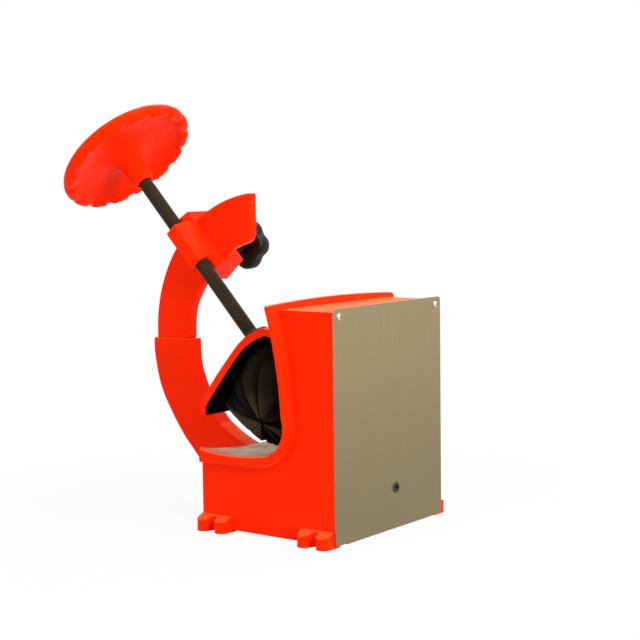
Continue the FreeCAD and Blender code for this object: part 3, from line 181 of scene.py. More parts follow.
class Recipe(ShaderTree):
    """The node tree of one finish, patterned by the place on the piece."""

    MIX_FIRST = 6
    MIX_SECOND = 7
    MIX_RESULT = 2
    EDGE_SAMPLES = 6

    def __init__(self, name: str) -> None:
        """Start an empty material.

        Args:
            name: The material's name.
        """
        self.material = bpy.data.materials.new(name)
        self.material.use_nodes = True
        super().__init__(self.material.node_tree)
        self.place = self.node("ShaderNodeTexCoord", output="Object")

    def noise(
        self,
        size: float,
        detail: float = 2.0,
        roughness: float = 0.5,
        stretch: Triple | None = None,
    ) -> Signal:
        """Cloudy noise between 0 and 1.

        Args:
            size: How long one patch of it is, in metres.
            detail: Its number of octaves.
            roughness: How strong the finer octaves are.
            stretch: How much longer the patches are along each axis.

        Returns:
            The noise's value.
        """
        place = self.place
        if stretch is not None:
            scale = tuple(1.0 / share for share in stretch)
            place = self.node("ShaderNodeMapping", inputs={"Vector": place, "Scale": scale})
        inputs = {"Vector": place, "Scale": 1.0 / size, "Detail": detail, "Roughness": roughness}
        return self.node("ShaderNodeTexNoise", inputs=inputs)

    def cells(self, size: float) -> Signal:
        """Distance to the nearest of many scattered points, in cells of that size."""
        inputs = {"Vector": self.place, "Scale": 1.0 / size}
        return self.node("ShaderNodeTexVoronoi", inputs=inputs, output="Distance")

    def axis(self, name: str, place: Signal | None = None) -> Signal:
        """One coordinate of the place on the piece, or of another vector."""
        return self.node("ShaderNodeSeparateXYZ", inputs={0: place or self.place}, output=name)

    def blend(self, factor: Signal | float, first: Value, second: Value) -> Signal:
        """Mix two colours.

        Args:
            factor: The share of the second one.
            first: A colour or link.
            second: A colour or link.

        Returns:
            The mixed colour.
        """
        inputs = {
            0: factor,
            self.MIX_FIRST: self._opaque(first),
            self.MIX_SECOND: self._opaque(second),
        }
        return self.node("ShaderNodeMix", {"data_type": "RGBA"}, inputs, self.MIX_RESULT)

    @staticmethod
    def _opaque(colour: Value) -> Value:
        """Give a plain colour its alpha."""
        return (*colour, 1.0) if isinstance(colour, tuple) and len(colour) == 3 else colour

    def relief(
        self, height: Signal, depth: float, strength: float = 1.0, edge: float = 0.0
    ) -> Signal:
        """Bump the surface.

        Args:
            height: The height of the surface, between 0 and 1.
            depth: What a height of 1 is, in metres.
            strength: How much of it shows.
            edge: How wide the shading of sharp edges is rounded, in metres.

        Returns:
            The bent normal.
        """
        inputs = {"Strength": strength, "Distance": depth, "Height": height}
        if edge:
            settings = {"samples": self.EDGE_SAMPLES}
            inputs["Normal"] = self.node("ShaderNodeBevel", settings, {"Radius": edge})
        return self.node("ShaderNodeBump", inputs=inputs)

    def surface(self, **sockets: Value) -> Signal:
        """Add the Principled shader with values or links for its sockets by name."""
        inputs = {name.replace("_", " "): self._opaque(value) for name, value in sockets.items()}
        return self.node("ShaderNodeBsdfPrincipled", inputs=inputs)

    def finish(self, **sockets: Value) -> bpy.types.Material:
        """End the material in a Principled shader with those sockets."""
        self.show(self.surface(**sockets))
        return self.material


# Finishes


@dataclass(frozen=True)
class Finish:
    """A finish with one colour, as it is written in linear light."""

    name: str
    colour: Triple

    def make(self) -> bpy.types.Material:
        """Build the material."""
        raise NotImplementedError

    def shade(self, share: float) -> Triple:
        """A darker or lighter version of the colour."""
        return tuple(min(part * share, 1.0) for part in self.colour)


@dataclass(frozen=True)
class CastPaint(Finish):
    """Stoved paint on a sand casting: lumpy, flowed round at sharp edges, with a painted highlight
    on its tops.
    """

    cloud_size: float = 60 * MM
    pit_size: float = 1.9 * MM
    run_size: float = 22 * MM
    run_stretch: Triple = (1.0, 1.0, 2.5)
    dull_size: float = 14 * MM
    lump_size: float = 11 * MM
    lump_depth: float = 0.3 * MM
    skin_size: float = 1.8 * MM
    skin_depth: float = 0.035 * MM
    edge: float = 1.8 * MM
    gloss: float = 0.07
    gloss_tint: Triple = (1.0, 0.34, 0.04)
    haze: float = 0.2
    haze_spread: float = 0.3
    haze_tint: Triple = (1.0, 0.5, 0.1)
    # painted highlight: a lighter orange laid on upward faces, where the top lamp falls
    painted_top_highlight: Triple = (0.97, 0.1, 0.02)

    def make(self) -> bpy.types.Material:
        """Build the material.

        Returns:
            The paint.
        """
        recipe = Recipe(self.name)
        clouds = recipe.noise(self.cloud_size, 3.0)
        pits = recipe.noise(self.pit_size, 4.0, 0.7)
        runs = recipe.noise(self.run_size, 3.0, 0.6, self.run_stretch)
        tone = recipe.blend(clouds.ramp(0.35, 0.7), self.shade(0.95), self.colour)
        tone = recipe.blend(runs.ramp(0.52, 0.75) * 0.3, tone, self.shade(0.84))
        tone = recipe.blend(pits.ramp(0.7, 0.82) * 0.2, tone, self.shade(0.5))
        level = recipe.axis("Z", recipe.node("ShaderNodeTexCoord", output="Normal"))
        # painted highlight on faces that point up, mottled by the clouds
        painted_top_highlight_share = level.ramp(0.72, 0.98) * (0.7 + clouds * 0.4)
        tone = recipe.blend(painted_top_highlight_share, tone, self.painted_top_highlight)
        lumps = recipe.noise(self.lump_size, 2.0, 0.45)
        skin = recipe.noise(self.skin_size, 2.0, 0.5)
        height = lumps + skin * (self.skin_depth / self.lump_depth)
        return recipe.finish(
            Base_Color=tone,
            Roughness=recipe.noise(self.dull_size, 3.0).ramp(0.3, 0.7, 0.36, 0.48),
            Normal=recipe.relief(height, self.lump_depth, edge=self.edge),
            Specular_IOR_Level=self.gloss,
            Specular_Tint=self.gloss_tint,
            Sheen_Weight=self.haze,
            Sheen_Roughness=self.haze_spread,
            Sheen_Tint=self.haze_tint,
        )


@dataclass(frozen=True)
class BrushedSheet(Finish):
    """Stainless sheet brushed along Z, with faint smudges and a foot darkened by painted shade."""

    hair_size: float = 0.45 * MM
    hair_stretch: Triple = (1.0, 1.0, 160.0)
    hair_depth: float = 0.012 * MM
    strand_size: float = 2.5 * MM
    strand_stretch: Triple = (1.0, 1.0, 60.0)
    smudge_size: float = 70 * MM
    # painted shade: the sheet darkens towards its foot, standing in for a darker reflection low
    # down
    foot_low: float = 30 * MM
    painted_shade_high: float = 280 * MM
    painted_shade_share: float = 0.42

    def make(self) -> bpy.types.Material:
        """Build the material.

        Returns:
            The brushed sheet.
        """
        recipe = Recipe(self.name)
        hairs = recipe.noise(self.hair_size, 3.0, 0.6, self.hair_stretch)
        strands = recipe.noise(self.strand_size, 2.0, 0.5, self.strand_stretch)
        smudge = recipe.noise(self.smudge_size, 3.0, 0.5)
        tone = recipe.blend(hairs.ramp(0.3, 0.7), self.shade(0.9), self.shade(1.05))
        tone = recipe.blend(strands.ramp(0.4, 0.75) * 0.4, tone, self.shade(0.94))
        tone = recipe.blend(smudge.ramp(0.45, 0.8) * 0.35, tone, self.shade(0.82))
        # painted shade, darkest at the foot and gone above the upper height
        painted_foot_shade = recipe.axis("Z").ramp(self.foot_low, self.painted_shade_high, self.painted_shade_share, 0.0)
        return recipe.finish(
            Base_Color=recipe.blend(painted_foot_shade, tone, self.shade(0.5)),
            Metallic=1.0,
            Roughness=hairs.ramp(0.2, 0.8, 0.34, 0.46) + smudge * 0.08,
            Normal=recipe.relief(hairs, self.hair_depth),
            Anisotropic=0.5,
        )


@dataclass(frozen=True)
class PlainMetal(Finish):
    """Bare or plated metal with a fine even grain."""

    roughness: float = 0.3
    wear: float = 0.3
    cloud_size: float = 12 * MM
    grain: float = 0.8 * MM
    grain_depth: float = 0.02 * MM

    def make(self) -> bpy.types.Material:
        """Build the material.

        Returns:
            The metal.
        """
        recipe = Recipe(self.name)
        clouds = recipe.noise(self.cloud_size, 4.0, 0.6)
        grain = recipe.noise(self.grain, 3.0, 0.6)
        tone = recipe.blend(clouds.ramp(0.35, 0.75) * self.wear, self.colour, self.shade(0.6))
        return recipe.finish(
            Base_Color=recipe.blend(grain.ramp(0.5, 0.8) * 0.25, tone, self.shade(1.2)),
            Metallic=1.0,
            Roughness=clouds.ramp(0.3, 0.7, self.roughness * 0.8, self.roughness * 1.25),
            Normal=recipe.relief(grain, self.grain_depth),
        )


@dataclass(frozen=True)
class OiledSteel(Finish):
    """Dark steel with old oil on it, browner where dust has stuck."""

    cloud_size: float = 30 * MM
    grit_size: float = 2 * MM
    grit_depth: float = 0.02 * MM
    dust: Triple = (0.07, 0.052, 0.022)
    gloss: float = 0.24
    gloss_tint: Triple = (1.0, 0.86, 0.6)

    def make(self) -> bpy.types.Material:
        """Build the material.

        Returns:
            The oiled steel.
        """
        recipe = Recipe(self.name)
        clouds = recipe.noise(self.cloud_size, 3.0, 0.5)
        grit = recipe.noise(self.grit_size, 4.0, 0.7)
        tone = recipe.blend(clouds.ramp(0.3, 0.75), self.colour, self.shade(0.75))
        return recipe.finish(
            Base_Color=recipe.blend(grit.ramp(0.5, 0.75) * 0.3, tone, self.dust),
            Roughness=grit.ramp(0.3, 0.7, 0.24, 0.36),
            Normal=recipe.relief(grit, self.grit_depth),
            Specular_IOR_Level=self.gloss,
            Specular_Tint=self.gloss_tint,
        )


@dataclass(frozen=True)
class Moulded(Finish):
    """Moulded plastic, ceramic, rubber or smooth lining with a fine skin."""

    roughness: float = 0.4
    gloss: float = 0.5
    cloud_size: float = 18 * MM
    skin_size: float = 0.9 * MM
    skin_depth: float = 0.03 * MM

    def make(self) -> bpy.types.Material:
        """Build the material.

        Returns:
            The moulded material.
        """
        recipe = Recipe(self.name)
        clouds = recipe.noise(self.cloud_size, 3.0, 0.6)
        skin = recipe.noise(self.skin_size, 3.0, 0.55)
        return recipe.finish(
            Base_Color=recipe.blend(clouds.ramp(0.4, 0.75), self.colour, self.shade(1.5)),
            Roughness=clouds.ramp(0.3, 0.7, self.roughness * 0.85, self.roughness * 1.2),
            Normal=recipe.relief(skin, self.skin_depth),
            Specular_IOR_Level=self.gloss,
        )


@dataclass(frozen=True)
class Leather(Finish):
    """Dark greased leather, pebbled: fold crests browner low down (rubbing and painted highlight),
    painted shade above.
    """

    grain: float = 1.4 * MM
    grain_depth: float = 0.4 * MM
    crease_size: float = 6 * MM
    cloud_size: float = 26 * MM
    # browner tone of the fold crests: partly rubbed wear, partly a painted highlight of the lit
    # folds
    rubbed_and_highlit: Triple = (0.046, 0.033, 0.013)
    # painted shade: above these heights the bag is kept dark, as in the shadow under the hood
    rub_low: float = 150 * MM
    painted_hood_shade_high: float = 190 * MM
    gloss: float = 0.03

    def make(self) -> bpy.types.Material:
        """Build the material.

        Returns:
            The leather, which reads how high each place lies on its fold.
        """
        recipe = Recipe(self.name)
        pebbles = recipe.cells(self.grain)
        creases = recipe.noise(self.crease_size, 4.0, 0.65)
        clouds = recipe.noise(self.cloud_size, 3.0, 0.6)
        fold = recipe.node("ShaderNodeAttribute", {"attribute_name": "fold"}, output="Fac")
        # painted shade: the brown fades out higher up, where the hood shades the bag
        clear_of_painted_hood_shade = recipe.axis("Z").ramp(self.rub_low, self.painted_hood_shade_high, 1.0, 0.12)
        # fold crests and clouds made browner: partly rubbed wear, partly painted highlight
        rub_and_highlight = (fold * 0.85 + clouds * 0.5).ramp(0.6, 1.15) * clear_of_painted_hood_shade
        tone = recipe.blend(rub_and_highlight, self.colour, self.rubbed_and_highlit)
        height = pebbles * 0.3 + creases * 0.7
        return recipe.finish(
            Base_Color=recipe.blend(creases.ramp(0.55, 0.75) * 0.5, tone, self.shade(0.7)),
            Roughness=(pebbles * 0.3 + clouds).ramp(0.3, 0.9, 0.42, 0.62),
            Normal=recipe.relief(height, self.grain_depth, strength=0.7),
            Specular_IOR_Level=self.gloss,
        )


@dataclass(frozen=True)
class WornSheet(Finish):
    """Bare aluminium sheet, scuffed along the tread and browned by old rubber."""

    scuff_size: float = 1.5 * MM
    scuff_stretch: Triple = (1.0, 24.0, 1.0)
    scuff_depth: float = 0.03 * MM
    stain_size: float = 26 * MM
    stain_stretch: Triple = (1.0, 3.0, 1.0)
    browned: Triple = (0.17, 0.11, 0.045)

    def make(self) -> bpy.types.Material:
        """Build the material.

        Returns:
            The worn sheet.
        """
        recipe = Recipe(self.name)
        scuffs = recipe.noise(self.scuff_size, 4.0, 0.6, self.scuff_stretch)
        stains = recipe.noise(self.stain_size, 3.0, 0.55, self.stain_stretch)
        tone = recipe.blend(scuffs.ramp(0.35, 0.7), self.shade(0.72), self.colour)
        return recipe.finish(
            Base_Color=recipe.blend(stains.ramp(0.42, 0.68) * 0.72, tone, self.browned),
            Metallic=0.8,
            Roughness=stains.ramp(0.3, 0.7, 0.35, 0.55),
            Normal=recipe.relief(scuffs, self.scuff_depth),
        )


ORANGE = CastPaint("orange_stove_paint", (0.97, 0.02, 0.0008))
COVER_STEEL = BrushedSheet("brushed_stainless_sheet", (0.345, 0.273, 0.149))
BRIGHT_STEEL = PlainMetal("plated_bright_steel", (0.6, 0.57, 0.47), wear=0.2)
PLAIN_STEEL = PlainMetal("zinc_plated_steel", (0.45, 0.45, 0.43))
THREAD_STEEL = OiledSteel("oiled_thread_steel", (0.018, 0.013, 0.006))
TUBE_STEEL = PlainMetal("heat_tinted_tube", (0.3, 0.24, 0.17), roughness=0.4, wear=0.6)
BRASS = PlainMetal("plain_brass", (0.6, 0.42, 0.16))
KNOB_BLACK = Moulded("black_moulded_knob", (0.003, 0.0035, 0.003), roughness=0.45, gloss=0.2)
CERAMIC = Moulded("cream_ceramic", (0.7, 0.64, 0.5), roughness=0.7)
RUBBER = Moulded("black_rubber", (0.012, 0.012, 0.012), roughness=0.75)
LEATHER = Leather("greased_bag_leather", (0.004, 0.003, 0.002))
LINING = Moulded("black_hood_lining", (0.0012, 0.001, 0.0009), roughness=0.9, gloss=0.05)
FLOOR_SHEET = WornSheet("worn_platen_sheet", (0.58, 0.37, 0.18))

FINISHED_NODES: tuple[tuple[Finish, tuple[str, ...]], ...] = (
    (ORANGE, ("body_casting", "clamp_collar", "pressure_shoe")),
    (
        PLAIN_STEEL,
        (
            "arm_bolts",
            "arm_pins",
            "heater_clamps",
            "heater_nuts",
            "heater_studs",
            "lock_screw",
            "thermostat_screws",
            "wheel_nut",
            "wheel_washer",
        ),
    ),
    (THREAD_STEEL, ("bag_bar", "bag_screws", "swivel_keeper")),
    (BRASS, ("earth_screw", "lock_pad", "terminal_screws", "thrust_disc")),
    (COVER_STEEL, ("side_cover",)),
    (LINING, ("hood_lining",)),
    (TUBE_STEEL, ("heater_element",)),
    (FLOOR_SHEET, ("platen",)),
    (RUBBER, ("cable_grommet",)),
    (CERAMIC, ("terminal_block",)),
    (BRIGHT_STEEL, ("thermostat",)),
)


# Places and mesh helpers


@dataclass(frozen=True)
class LeaningFrame:
    """The frame whose Z is the hand screw's axis, out to the handwheel."""

    centre: Triple = (-89.5 * MM, -27 * MM, 238 * MM)
    lean: float = math.radians(42.8)

    def matrix(self) -> Matrix:
        """The frame's place in the machine's axes."""
        return Matrix.Translation(self.centre) @ Matrix.Rotation(-self.lean, 4, "Y")


SCREW_FRAME = LeaningFrame()


@dataclass
class Stock:
    """The finished materials, each made once."""

    made: dict[str, bpy.types.Material] = field(default_factory=dict)

    def get(self, finish: Finish) -> bpy.types.Material:
        """Hand out a finish's material.

        Args:
            finish: The finish asked for.

        Returns:
            Its material.
        """
        if finish.name not in self.made:
            self.made[finish.name] = finish.make()
        return self.made[finish.name]


def clamped(value: float) -> float:
    """Hold a value between 0 and 1."""
    return min(max(value, 0.0), 1.0)


def eased(value: float) -> float:
    """Hold a value between 0 and 1, with soft ends."""
    share = clamped(value)
    return share * share * (3 - 2 * share)


def in_metres(places: Iterable[Pair]) -> list[Pair]:
    """Turn places in millimetres into metres."""
    return [(across * MM, along * MM) for across, along in places]


def spread(first: float, last: float, steps: int) -> list[float]:
    """Evenly spaced values from the first to the last one."""
    return [first + (last - first) * step / steps for step in range(steps + 1)]


def full_turn(steps: int) -> list[float]:
    """The turns of equal steps round a circle."""
    return [math.tau * step / steps for step in range(steps)]


def about_z(radius: float, turn: float, height: float) -> Vector:
    """A point at a radius and a turn about Z."""
    return Vector((radius * math.cos(turn), radius * math.sin(turn), height))


def circle(radius: float, height: float, steps: int) -> list[Vector]:
    """Points of a level circle about Z."""
    return [about_z(radius, turn, height) for turn in full_turn(steps)]


def smooth_curve(places: Sequence[Pair], steps: int, closed: bool = False) -> list[Vector]:
    """Run a smooth curve through places.

    Args:
        places: The places in order.
        steps: How many points each run between two places gets.
        closed: Whether the curve comes back to its first place.

    Returns:
        The curve's points, and an open curve's last place.
    """
    points = [Vector(place) for place in places]
    if closed:
        framed = [points[-1], *points, points[0], points[1]]
    else:
        framed = [points[0], *points, points[-1]]
    curve = []
    for before, here, there, after in zip(framed, framed[1:], framed[2:], framed[3:]):
        for share in (step / steps for step in range(steps)):
            place = 0.5 * (
                2 * here
                + (there - before) * share
                + (2 * before - 5 * here + 4 * there - after) * share**2
                + (3 * here - before - 3 * there + after) * share**3
            )
            curve.append(place)
    return curve if closed else [*curve, points[-1]]


def loft(
    work: Work, rings: Sequence[Sequence[Vector]], caps: bool = True
) -> list[list[bmesh.types.BMVert]]:
    """Skin closed rings of equal counts.

    Args:
        work: The mesh at work.
        rings: The rings, each a list of points in order.
        caps: Whether the first and last rings are closed by a fan.

    Returns:
        The rings' corners in the mesh.
    """
    rows = [[work.verts.new(point) for point in ring] for ring in rings]
    for low, high in zip(rows, rows[1:]):
        for index in range(len(low)):
            after = (index + 1) % len(low)
            work.faces.new((low[index], low[after], high[after], high[index]))
    if caps:
        for row in (rows[0], rows[-1]):
            middle = work.verts.new(sum((vert.co for vert in row), Vector()) / len(row))
            for index in range(len(row)):
                work.faces.new((row[index], row[(index + 1) % len(row)], middle))
    return rows


def turned(profile: Iterable[Pair], steps: int) -> Work:
    """Turn a profile of radius and height about Z.

    Args:
        profile: The profile from its low end to its high end.
        steps: The number of faces around.

    Returns:
        The closed mesh.
    """
    work = bmesh.new()
    loft(work, [circle(radius, height, steps) for radius, height in profile])
    return work


def new_piece(name: str, mesh: bpy.types.Mesh) -> Piece:
    """Put a mesh into the scene as a piece.

    Args:
        name: The piece's name.
        mesh: Its mesh.

    Returns:
        The piece.
    """
    piece = bpy.data.objects.new(name, mesh)
    bpy.context.scene.collection.objects.link(piece)
    return piece


def mesh_of(name: str, work: Work, place: Matrix | None = None, smooth: bool = True) -> Piece:
    """Close a mesh at work into a piece.

    Args:
        name: The piece's name.
        work: The mesh at work, which is freed.
        place: Where its own frame lies, or None in the machine's axes.
        smooth: Whether its faces are shaded smooth.

    Returns:
        The piece, with its place in its mesh.
    """
    bmesh.ops.remove_doubles(work, verts=work.verts, dist=SAME_PLACE)
    bmesh.ops.recalc_face_normals(work, faces=work.faces)
    work.transform(place or Matrix())
    mesh = bpy.data.meshes.new(name)
    work.to_mesh(mesh)
    work.free()
    for face in mesh.polygons:
        face.use_smooth = smooth
    return new_piece(name, mesh)


def baked(piece: Piece) -> Piece:
    """Turn a piece with its modifiers into a plain mesh piece of the same name.

    Args:
        piece: The piece, which is removed.

    Returns:
        The plain piece.
    """
    name = piece.name
    graph = bpy.context.evaluated_depsgraph_get()
    graph.update()
    mesh = bpy.data.meshes.new_from_object(piece.evaluated_get(graph))
    bpy.data.objects.remove(piece)
    mesh.name = name
    made = new_piece(name, mesh)
    made.name = name
    return made


def carved(piece: Piece, cutters: Sequence[Piece]) -> Piece:
    """Cut other pieces out of a piece.

    Args:
        piece: The piece to cut.
        cutters: What is cut out of it, which is removed.

    Returns:
        The piece with its cuts.
    """
    for cutter in cutters:
        carve = piece.modifiers.new("carve", "BOOLEAN")
        carve.operation = "DIFFERENCE"
        carve.object = cutter
    made = baked(piece)
    for cutter in cutters:
        bpy.data.objects.remove(cutter)
    return made


def smooth_by_angle(piece: Piece, degrees: float) -> None:
    """Shade a piece smooth, with its sharper edges kept sharp.

    Args:
        piece: The piece to shade.
        degrees: The angle from which an edge stays sharp.
    """
    work = bmesh.new()
    work.from_mesh(piece.data)
    limit = math.radians(degrees)
    for face in work.faces:
        face.smooth = True
    for edge in work.edges:
        edge.smooth = len(edge.link_faces) == 2 and edge.calc_face_angle(0.0) < limit
    work.to_mesh(piece.data)
    work.free()


def skinned(
    name: str, rings: Sequence[Sequence[Vector]], degrees: float, caps: bool = True
) -> Piece:
    """Skin rings that are given in the screw's frame.

    Args:
        name: The piece's name.
        rings: The rings, each a list of points in order.
        degrees: The angle from which an edge stays sharp.
        caps: Whether the first and last rings are closed by a fan.

    Returns:
        The smooth piece.
    """
    work = bmesh.new()
    loft(work, rings, caps)
    piece = mesh_of(name, work, SCREW_FRAME.matrix())
    smooth_by_angle(piece, degrees)
    return piece


def dress(piece: Piece, material: bpy.types.Material) -> None:
    """Give a piece one material on all its faces."""
    piece.data.materials.clear()
    piece.data.materials.append(material)


def settle(piece: Piece, body: Body, node: str) -> None:
    """Hang a piece on its body in a solid's place.

    Args:
        piece: The piece.
        body: The body that it rides on.
        node: The solid that it stands for.
    """
    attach(piece, body.value)
    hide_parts(node)


# Repeated fasteners


class RowTree:
    """A node tree that sets copies of a template in a row, each with a turn of its own."""

    SOCKETS = (
        ("Geometry", "INPUT", "Geometry"),
        ("Count", "INPUT", "Int"),
        ("Start", "INPUT", "Vector"),
        ("Step", "INPUT", "Vector"),
        ("Seed", "INPUT", "Int"),
        ("Template", "INPUT", "Object"),
        ("Axis turn", "INPUT", "Vector"),
        ("Geometry", "OUTPUT", "Geometry"),
    )

    def __init__(self, name: str, material: bpy.types.Material) -> None:
        """Build the tree.

        Args:
            name: The tree's name.
            material: The material of the copies.
        """
        self.tree = bpy.data.node_groups.new(name, "GeometryNodeTree")
        for label, way, kind in self.SOCKETS:
            self.tree.interface.new_socket(label, in_out=way, socket_type=f"NodeSocket{kind}")
        start = self._node("NodeGroupInput")
        line = self._node("GeometryNodeMeshLine", mode="OFFSET")
        template = self._node("GeometryNodeObjectInfo")
        spin = self._node("FunctionNodeRandomValue", data_type="FLOAT")
        spin.inputs["Max"].default_value = math.pi
        turn = self._node("FunctionNodeAxisAngleToRotation")
        lay = self._node("FunctionNodeEulerToRotation")
        both = self._node("FunctionNodeRotateRotation", rotation_space="LOCAL")
        copies = self._node("GeometryNodeInstanceOnPoints")
        real = self._node("GeometryNodeRealizeInstances")
        coat = self._node("GeometryNodeSetMaterial")
        coat.inputs["Material"].default_value = material
        end = self._node("NodeGroupOutput")
        for source, given, target, taken in (
            (start, "Count", line, "Count"),
            (start, "Start", line, "Start Location"),
            (start, "Step", line, "Offset"),
            (start, "Template", template, "Object"),
            (start, "Seed", spin, "Seed"),
            (spin, "Value", turn, "Angle"),
            (start, "Axis turn", lay, "Euler"),
            (lay, "Rotation", both, "Rotation"),
            (turn, "Rotation", both, "Rotate By"),
            (line, "Mesh", copies, "Points"),
            (template, "Geometry", copies, "Instance"),
            (both, "Rotation", copies, "Rotation"),
            (copies, "Instances", real, "Geometry"),
            (real, "Geometry", coat, "Geometry"),
            (coat, "Geometry", end, "Geometry"),
        ):
            self.tree.links.new(source.outputs[given], target.inputs[taken])

    def _node(self, kind: str, **settings: str) -> bpy.types.Node:
        """Add one node.

        Args:
            kind: The node's type.
            **settings: Its own settings.

        Returns:
            The node.
        """
        made = self.tree.nodes.new(kind)
        for name, value in settings.items():
            setattr(made, name, value)
        return made

    def make(self, name: str, place: Matrix, **values: object) -> Piece:
        """Run the tree on a fresh piece.

        Args:
            name: The piece's name.
            place: The frame that the row is given in.
            **values: The tree's inputs, with underscores for spaces.

        Returns:
            The row as one plain mesh piece.
        """
        piece = new_piece(name, bpy.data.meshes.new(name))
        modifier = piece.modifiers.new("row", "NODES")
        modifier.node_group = self.tree
        for item in self.tree.interface.items_tree:
            label = item.name.replace(" ", "_")
            if item.in_out == "INPUT" and label in values:
                modifier[item.identifier] = values[label]
        made = baked(piece)
        made.data.transform(place)
        return made


@dataclass(frozen=True)
class ScrewHead:
    """A screw head with its shank, its seat at height 0 and its driver recess on top.

    The cuts, the dome and the flat are shares of the head's width or height.
    """

    head: float
    height: float
    shank: float
    length: float
    recess: Recess
    dome: float = 0.6
    dome_steps: int = 8
    sides: int = 40
    flat: float = 0.06
    cross_span: float = 0.56
    slit_span: float = 1.2
    cut_width: float = 0.11
    cut_floor: float = 0.45
    cut_height: float = 1.2
    sharp_degrees: float = 32.0

    def template(self) -> Piece:
        """Build the template, with its axis on Z.

        Returns:
            The head and its shank.
        """
        radius = self.head / 2
        side = self.height * (1 - self.dome)
        rise = self.height - side
        turns = [step / self.dome_steps * QUARTER_TURN for step in range(self.dome_steps)]
        arch = [(radius * math.cos(turn), side + rise * math.sin(turn)) for turn in turns]
        profile = [
            (self.shank / 2, -self.length),
            (self.shank / 2, 0.0),
            (radius, 0.0),
            *arch,
            (radius * self.flat, self.height),
        ]
        head = mesh_of("screw_template", turned(profile, self.sides))
        cuts = (0.0, QUARTER_TURN) if self.recess is Recess.CROSS else (0.0,)
        made = carved(head, [self._cutter(turn) for turn in cuts])
        smooth_by_angle(made, self.sharp_degrees)
        return made

    def _cutter(self, turn: float) -> Piece:
        """Build one cutter of the recess.

        Args:
            turn: Its angle about the head's axis.

        Returns:
            The cutter.
        """
        span = self.cross_span if self.recess is Recess.CROSS else self.slit_span
        size = Vector((self.head * span, self.head * self.cut_width, self.height * self.cut_height))
        work = bmesh.new()
        bmesh.ops.create_cube(work, size=1.0)
        bmesh.ops.scale(work, vec=size, verts=work.verts)
        lift = Matrix.Translation((0, 0, self.height * self.cut_floor + size.z / 2))
        return mesh_of("cutter", work, Matrix.Rotation(turn, 4, "Z") @ lift, smooth=False)


@dataclass(frozen=True)
class ScrewPair:
    """Two like screws, given in the axes of what they hold."""

    name: str
    head: ScrewHead
    start: Triple
    step: Triple
    axis_turn: Triple
    seed: int

    def make(self, material: bpy.types.Material, place: Matrix) -> Piece:
        """Set the screws.

        Args:
            material: Their material.
            place: The frame that they are given in.

        Returns:
            Both screws as one piece.
        """
        template = self.head.template()
        screws = RowTree(self.name, material).make(
            self.name,
            place,
            Count=2,
            Start=self.start,
            Step=self.step,
            Seed=self.seed,
            Template=template,
            Axis_turn=self.axis_turn,
        )
        bpy.data.objects.remove(template)
        return screws


# Sub-assemblies


@dataclass
class SideCover:
    """The steel cover on the box's open side, with a domed screw in each upper corner."""

    cover_face: float = 106.7 * MM
    screw_reach: float = 106.3 * MM
    screw_height: float = 279 * MM
    head: ScrewHead = ScrewHead(9 * MM, 2.6 * MM, 4 * MM, 16 * MM, Recess.CROSS, dome=0.85)

    def build(self, stock: Stock) -> list[Piece]:
        """Make the cover's two screws.

        Args:
            stock: The finished materials.

        Returns:
            The screws as one piece.
        """
        pair = ScrewPair(
            name="cover_screw_pair",
            head=self.head,
            start=(self.cover_face, -self.screw_reach, self.screw_height),
            step=(0.0, 2 * self.screw_reach, 0.0),
            axis_turn=(0.0, QUARTER_TURN, 0.0),
            seed=4,
        )
        screws = pair.make(stock.get(BRIGHT_STEEL), Matrix())
        settle(screws, Body.MACHINE, "cover_screws")
        return [screws]


